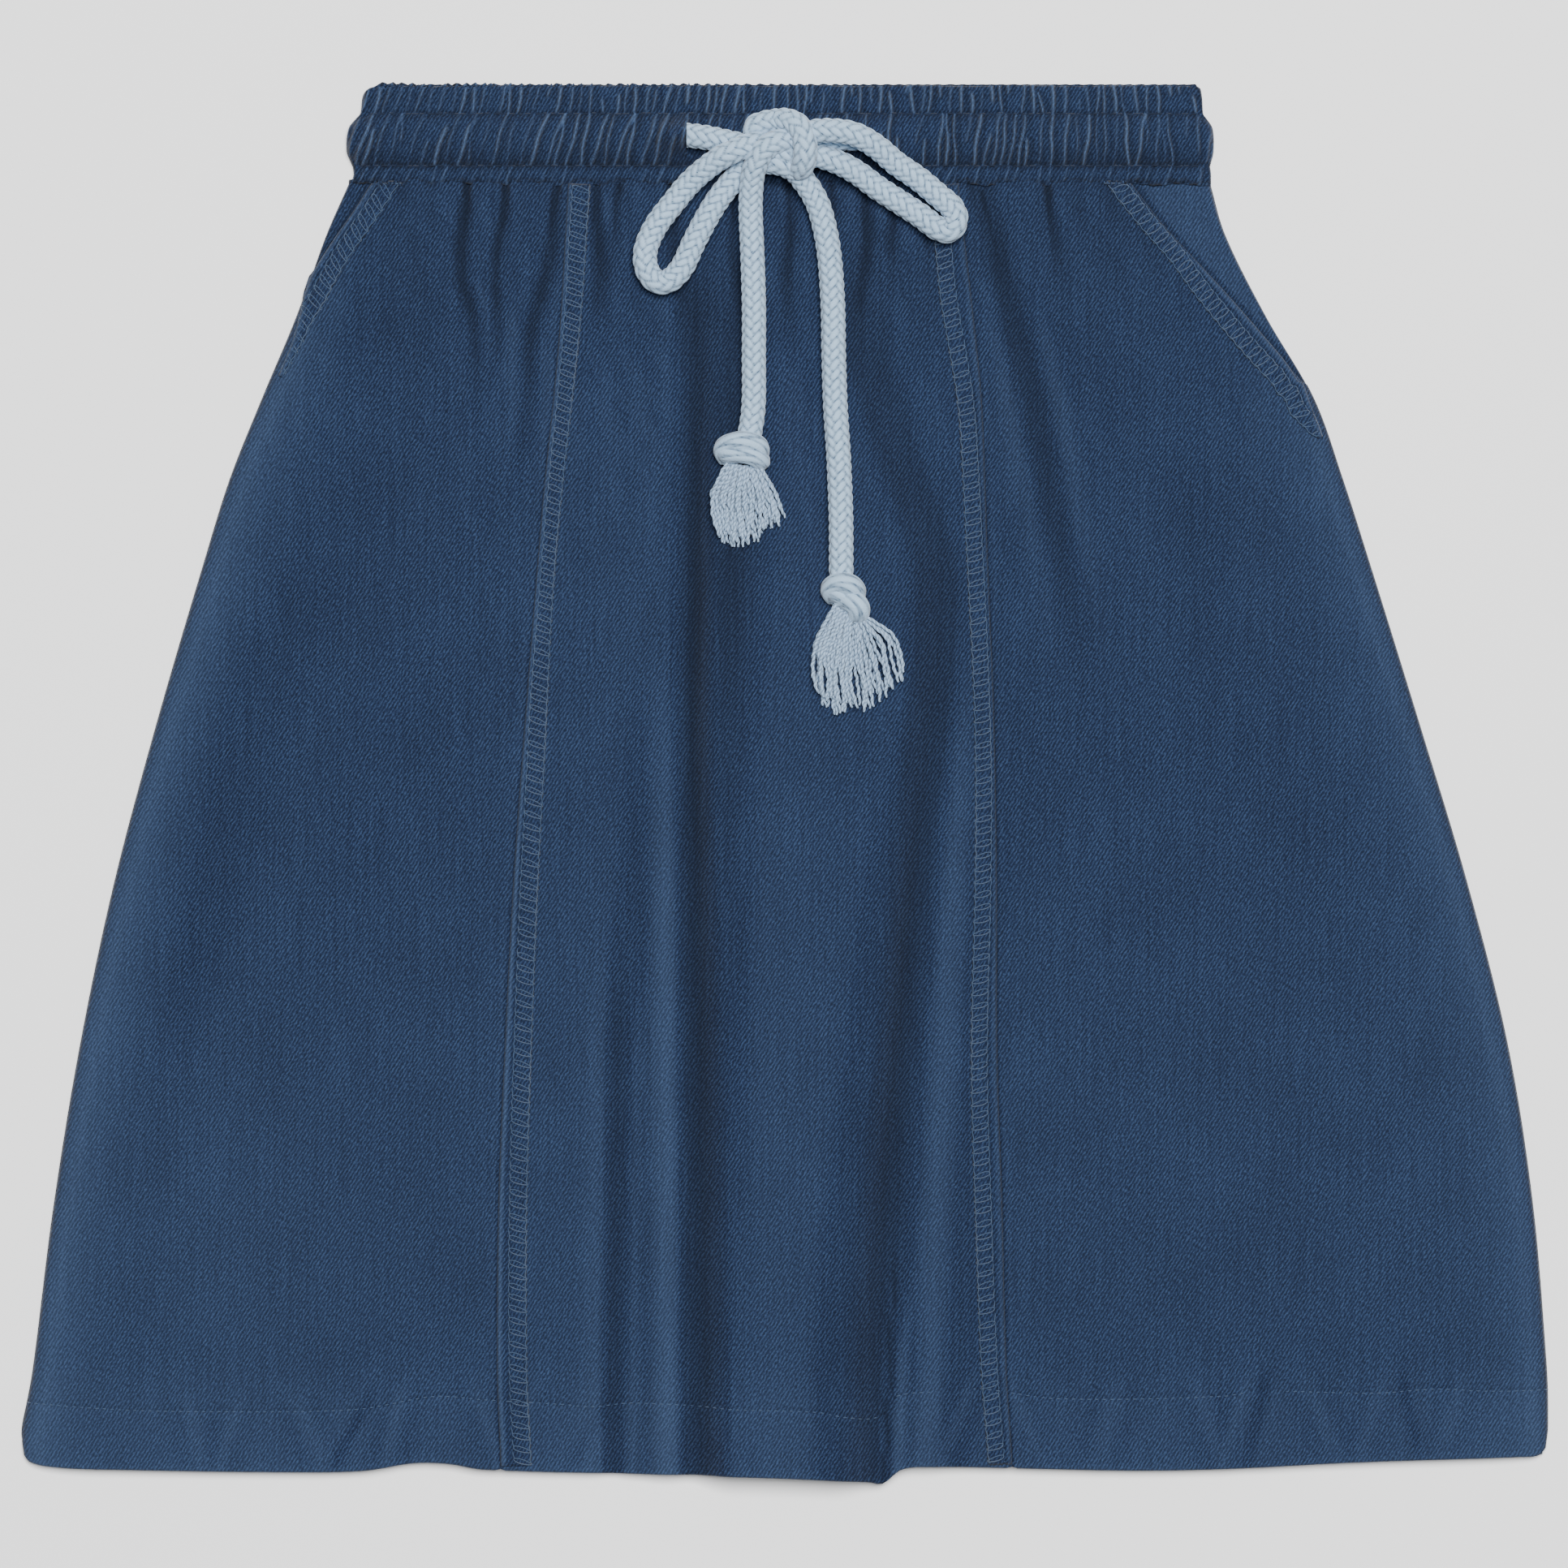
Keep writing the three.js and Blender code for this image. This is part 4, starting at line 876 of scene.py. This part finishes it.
STRIP_ROUND = 0.9
STRIP_STEP = 0.9
SEAM = dict(top=184.8, out=0.0, tuck=0.0, first=0.0, least=1.2)
MOUTH = dict(top=190.0, out=0.3, tuck=2.4, first=-0.7, least=-9.0, pitch=3.8, half=0.85, lit=0.25)
STRIPS = {
    # out and tuck move a strip over its fold and in at its end, first is where its cloth starts, least
    # the needle line's nearest place; loops to half shape the overlock, and lit pales the fold
    "seam_allowance_left": dict(SEAM, line=seam_left, inward=1, bottom=-210.4, column=1,
                                loops=5.4, pitch=3.6, slant=0.3, half=0.75, lit=0.35),
    "seam_allowance_right": dict(SEAM, line=seam_right, inward=-1, bottom=-210.2, column=2,
                                 loops=5, pitch=3.8, slant=0.26, half=0.8, lit=0.15),
    "pocket_edge_left": dict(MOUTH, line=open_left, inward=1, bottom=126.0, column=3,
                             loops=5.2, slant=0.5),
    "pocket_edge_right": dict(MOUTH, line=open_right, inward=-1, bottom=107.0, column=4,
                              loops=5.3, slant=-0.1),
}
THREAD = 0.3
thread_blue = plain_material("light blue sewing thread", "#30455F", 0.7, 0.3, 0.2)


def stitching(name, lines, material, radius=THREAD / 2, closed=False):
    """Thread along lines of points in mm, as one piece."""
    data = bpy.data.curves.new(name, "CURVE")
    data.dimensions = "3D"
    data.bevel_depth = radius * MM
    data.bevel_resolution = 0
    data.use_fill_caps = True
    for line in lines:
        spline = data.splines.new("POLY")
        spline.points.add(len(line) - 1)
        spline.points.foreach_set("co", np.concatenate([line * MM, np.ones((len(line), 1))], axis=1).ravel())
        spline.use_cyclic_u = closed
        spline.use_smooth = True
    data.materials.append(material)
    made = bpy.data.objects.new(name, data)
    bpy.context.collection.objects.link(made)
    return belongs(made, "sewing_thread")


def strip_places(strip):
    """Functions of s, the way down a strip's fold: its width, its needle line, and x, y, z at a across
    it, with its folded ridge, the groove of its needle line and its rippled edge; and its length."""
    y = np.arange(strip["top"], strip["bottom"], -0.5)
    line = np.stack([strip["line"](y), y], axis=1)
    down = lengths_along(line)
    heading = np.gradient(line, axis=0)
    heading /= np.linalg.norm(heading, axis=1)[:, None]
    heading = np.pad(heading, ((10, 10), (0, 0)), mode="edge")
    heading = np.stack([np.convolve(heading[:, k], np.ones(21) / 21, mode="valid") for k in (0, 1)], axis=1)
    widths = curve_through(ALLOWANCES, strip["column"])(y) * -heading[:, 1]

    def width(s):
        return np.interp(s, down, widths)

    def needle(s):
        return np.maximum(width(s) - strip["loops"], strip["least"])

    def spot(s, a, rise):
        tx, ty = np.interp(s, down, heading[:, 0]), np.interp(s, down, heading[:, 1])
        tucked = strip["tuck"] * ease((s - down[-1] + 30) / 22)
        out = (a - strip["out"] + tucked) * strip["inward"]
        x, y = np.interp(s, down, line[:, 0]) - out * ty, np.interp(s, down, line[:, 1]) + out * tx
        y = np.clip(y, hem_line(x) + 0.3, SEAM_Y - 0.2)
        past_needle = a - needle(s)
        ripple = 0.1 * np.sin(2 * math.pi * s / strip["pitch"]) * ease(past_needle / 1.5)
        relief = (0.3 * bump_at(a - 0.9, 0.9) - 0.45 * bump_at(past_needle, 0.45) + ripple
                  + 0.12 * np.sin(0.31 * s + 1) - 0.5 * ease((a - width(s) + 0.6) / 0.6))
        return x, y, front_surface(x, y) + STRIP_LIFT * rise + relief
    return width, needle, spot, down[-1]


def strip_cloth(node, strip):
    """The strip itself: rounded over its fold, flat to its overlocked edge."""
    width, needle, spot, length = strip_places(strip)

    def place(c, s):
        arc = np.minimum(c, 1) * math.pi / 2
        a = np.where(c < 1, STRIP_ROUND * (1 - np.cos(arc)), STRIP_ROUND + (width(s) - STRIP_ROUND) * (c - 1))
        a = a + 0.2 * np.sin(2 * math.pi * s / strip["pitch"]) * np.maximum(c - 1, 0) ** 4
        x, y, z = spot(s, a, np.sin(arc))
        z = z - 0.8 * ease(hem_line(x) + 1.3 - y)
        # The needle line's groove is darkened here as painted shade.
        return x, y, z, strip["lit"] * bump_at(a - 0.8, 0.8) - 0.3 * bump_at(a - needle(s), 0.5)
    across = np.concatenate([np.linspace(strip["first"], 1, 6), np.linspace(1, 2, 16)[1:]])
    return cloth_sheet(node, across[::strip["inward"]], np.linspace(0, length, int(length / STRIP_STEP)),
                       place, STRIP_CLOTH, slot="overlocked_edge", kind="strip")


def overlock(node, strip):
    """Overlock thread: a loop across the strip at each stitch, a needle line and an edge line."""
    width, needle, spot, length = strip_places(strip)
    draw = random.Random(node)

    def laid(s, a, above):
        a = np.maximum(a, 0.15)
        x, y, z = spot(s, a, np.sin(np.minimum(a / STRIP_ROUND, 1) * math.pi / 2))
        past_edge = 0.5 * np.clip((a - width(s)) / 0.25, 0, 1)
        return np.stack([x, y, z + above - past_edge], axis=1)

    loops = []
    turn = np.linspace(0, 2 * math.pi, 16, endpoint=False)
    middle = strip["pitch"] / 2
    while middle < length - 1:
        wide, inner = float(width(middle)), float(needle(middle))
        if wide > 1.5:
            across = (wide + 0.2 - inner) / 2
            a = inner + across * (1 - np.cos(turn))
            s = middle + strip["slant"] * (a - inner - across) + draw.uniform(-0.12, 0.12)
            s = s + strip["half"] * np.sin(turn) * (1 + 0.3 * np.cos(turn)) * draw.uniform(0.85, 1.1)
            loops.append(laid(s, a, 0.06))
        middle += strip["pitch"] * draw.uniform(0.93, 1.07)
    s = np.arange(0.5, length - 0.5, 0.45)
    beat = 2 * math.pi * s / strip["pitch"]
    needle_line = laid(s, needle(s) + 0.14 * np.sin(beat), 0.02 + 0.08 * np.cos(beat))
    edge_line = laid(s, width(s) - 0.35 * np.abs(np.sin(beat / 2)), 0.12)
    return [stitching(f"{node}_overlock_loops", loops, thread_blue, closed=True),
            stitching(f"{node}_overlock_lines", [needle_line, edge_line], thread_blue)]


strips = {node: strip_cloth(node, strip) for node, strip in STRIPS.items()}
overlocks = {node: overlock(node, strip) for node, strip in STRIPS.items()}


# The hem is held by one row of lockstitch in the same blue thread, 18 to 22 mm above its edge; the
# row is lost for a few millimetres where the pleat's fold doubles over.
STITCH = 1.75
STITCH_PITCH = 2.35
HEM_ROW = (-233.0, 235.0)
HEM_ROW_BREAK = (29.3, 33.0)


def stitches(start, end, pitch, length, path, sink):
    """Single stitches along a row; path turns x into x, y and z, and their ends dip by sink."""
    arc = np.linspace(-0.5, 0.5, 5)
    row = []
    for middle in np.arange(start, end, pitch):
        x, y, z = path(middle + arc * length)
        row.append(np.stack([x, y, z - sink * (2 * arc) ** 2], axis=1))
    return row


def over_hem(x):
    """The hem's stitch row, on the cloth and over the strips that it crosses."""
    y = hem_stitch_line(x)
    z = front_surface(x, y) + 0.08
    for node, side in (("seam_allowance_left", 1), ("seam_allowance_right", -1)):
        strip = STRIPS[node]
        away = (x - strip["line"](y)) * side
        wide = curve_through(ALLOWANCES, strip["column"])(y)
        z = z + STRIP_LIFT * ease(away / 0.8) * ease((wide - away) / 0.6 + 1)
    return x, y, z


hem_row = [stitch for stitch in stitches(*HEM_ROW, STITCH_PITCH, STITCH, over_hem, 0.35)
           if not HEM_ROW_BREAK[0] < stitch[2][0] < HEM_ROW_BREAK[1]]
hem_stitches = stitching("hem_stitches", hem_row, thread_blue, radius=0.16)


# The front of the waistband is a channel of the same denim over a wide elastic, with a narrow frill
# above it. It is drawn up in close, sharp, uneven gathers between two sunk rows of stitches.
BAND_ROUNDING = 5.0
BAND_CLOTH = 0.9
BAND_EDGE_LEVEL = 1.2
BAND_ROWS = [
    # y, first x, last x, stitch length
    (206.2, -129, 127.5, 2.1), (190.2, -131, 129.5, 2),
]
BAND_PITCH = 2.5
GATHER_ZONES = [
    # lowest y, highest y, spacing, lean at the left end, lean at the right end, tallest, seed
    (183, 190.2, 3.1, 0.50, 0.20, 0.75, 3), (190.2, 206.2, 3.5, 0.34, 0.02, 1.2, 5),
    (206.2, 217, 3.3, 0.30, -0.12, 1.2, 9),
]
LIP_HEIGHT = 5.6
SLIT_Y = 202.0

# Each gather has its zone, its line from the zone's foot, and how sharp, tall and long it is.
gathers = []
for low, high, spacing, lean_left, lean_right, tallest, seed in GATHER_ZONES:
    draw = random.Random(seed)
    x = -140.0
    while x < 136:
        along = min(max((x + 134) / 266, 0), 1)
        lean = lean_left + (lean_right - lean_left) * along + draw.gauss(0, 0.07)
        short = draw.random() < 0.25
        start = low + (draw.uniform(0.1, 0.5) * (high - low) if short and draw.random() < 0.5 else -3)
        stop = high - (draw.uniform(0.1, 0.5) * (high - low) if short and start < low else -3)
        gathers.append((low, high, x, lean, draw.uniform(0, 6.3), draw.uniform(0.36, 0.62),
                        draw.uniform(0.38, 1) * tallest, start, stop))
        x += spacing * draw.uniform(0.62, 1.38)


def gathered(x, y):
    """How far the cloth is drawn up into ridges, each with a hollow on its right side."""
    total = np.zeros_like(x + y)
    hollow = np.zeros_like(x + y)
    for low, high, foot, lean, phase, sharp, tall, start, stop in gathers:
        inside = (y > low) & (y <= high)
        centre = foot + lean * (y - low) + 0.25 * np.sin(0.45 * y + phase)
        window = np.where(inside, tall * ease((y - start) / 2.5) * ease((stop - y) / 2.5), 0)
        total = total + window * np.exp(-(np.abs(x - centre) / sharp) ** 1.4)
        hollow = hollow + window * bump_at(x - centre - 1.2, 0.8)
    return np.minimum(total, 1.3), np.minimum(hollow, 1)


def band_surface(x, y):
    """Height of the band's outer face, and how far each place is a crest or a hollow."""
    crest, hollow = gathered(x, y)
    level = y + 0.3 * np.sin(0.9 * x + 1.3 * np.sin(0.31 * x))
    swell = 0.35 * np.sin(0.23 * x + 0.9 * np.sin(0.07 * x) + 0.1 * y) * ease((y - 190) / 4)
    height = band_height(level) + band_depth(level) * (1.5 * crest - 0.6 * hollow - 0.35 + swell)
    lip = LIP_HEIGHT * bump_at(y - 199.4, 4.6) * ease((x + 46) / 13) * (x < SLIT_X - 0.1)
    round_ends = rounded(np.minimum(x - band_left(y), band_right(y) - x), BAND_ROUNDING)
    return BAND_EDGE_LEVEL + (height + lip - BAND_EDGE_LEVEL) * round_ends, crest, hollow


def band_place(s, y):
    """The band's front from its left side to its right, with its frilled upper edge."""
    left, right = band_left(y), band_right(y)
    x = left + (right - left) * s
    z, crest, hollow = band_surface(x, y)
    y = y + (0.08 * crest + 0.12 * np.sin(0.19 * x)) * ease((y - 212.5) / 2.5)
    seam = (0.35 * np.sin(0.37 * x + np.sin(0.11 * x)) + 0.12 * np.sin(1.7 * x)) * ease((187 - y) / 1.5)
    # The channel's foot and the sunk stitch rows are darkened as painted shade; below, crests are paled as
    # rubbed wear and painted highlight, and the hollow beside each crest is darkened as painted shade.
    painted_row_shade = 0.3 * bump_at(y - 192, 3.5) + 0.25 * bump_at(y - 206.2, 1.2) + 0.3 * bump_at(y - 190.2, 0.8)
    fade_and_painted_light = 0.85 * np.minimum(crest, 1) ** 1.5 - 0.3 * hollow - painted_row_shade * (1 - np.minimum(crest, 1))
    return x, y + seam, z, fade_and_painted_light


slit_at = (SLIT_X - band_left(SLIT_Y)) / (band_right(SLIT_Y) - band_left(SLIT_Y))
band_across = np.sort(np.concatenate([np.linspace(0, 1, 860), [slit_at - 0.0004, slit_at + 0.0004]]))
band_down = np.concatenate([np.linspace(*rows) for rows in (
    (214.9, 207, 15), (206.6, 205.8, 3), (205.2, 191, 24), (190.4, 189.8, 3), (189, 184.5, 9))])
band_front = cloth_sheet("waistband_front", band_across, band_down, band_place, BAND_CLOTH)

# These stitches are real, but their near-black colour is painted shade of the sunk rows they lie in.
thread_dark = plain_material("stitch thread darkened with painted shade", "#121E33", 0.8, 0.2, 0.1)


def over_band(row_y):
    """A row of stitches along the band, a little above its cloth."""
    def path(x):
        y = row_y + 0.15 * np.sin(0.4 * x)
        return x, y, band_surface(x, y)[0] + 0.06
    return path


band_rows = [stitch for y, first, last, length in BAND_ROWS
             for stitch in stitches(first, last, BAND_PITCH, length, over_band(y), 0.2)]
band_stitches = stitching("waistband_stitches", band_rows, thread_dark, radius=0.28)
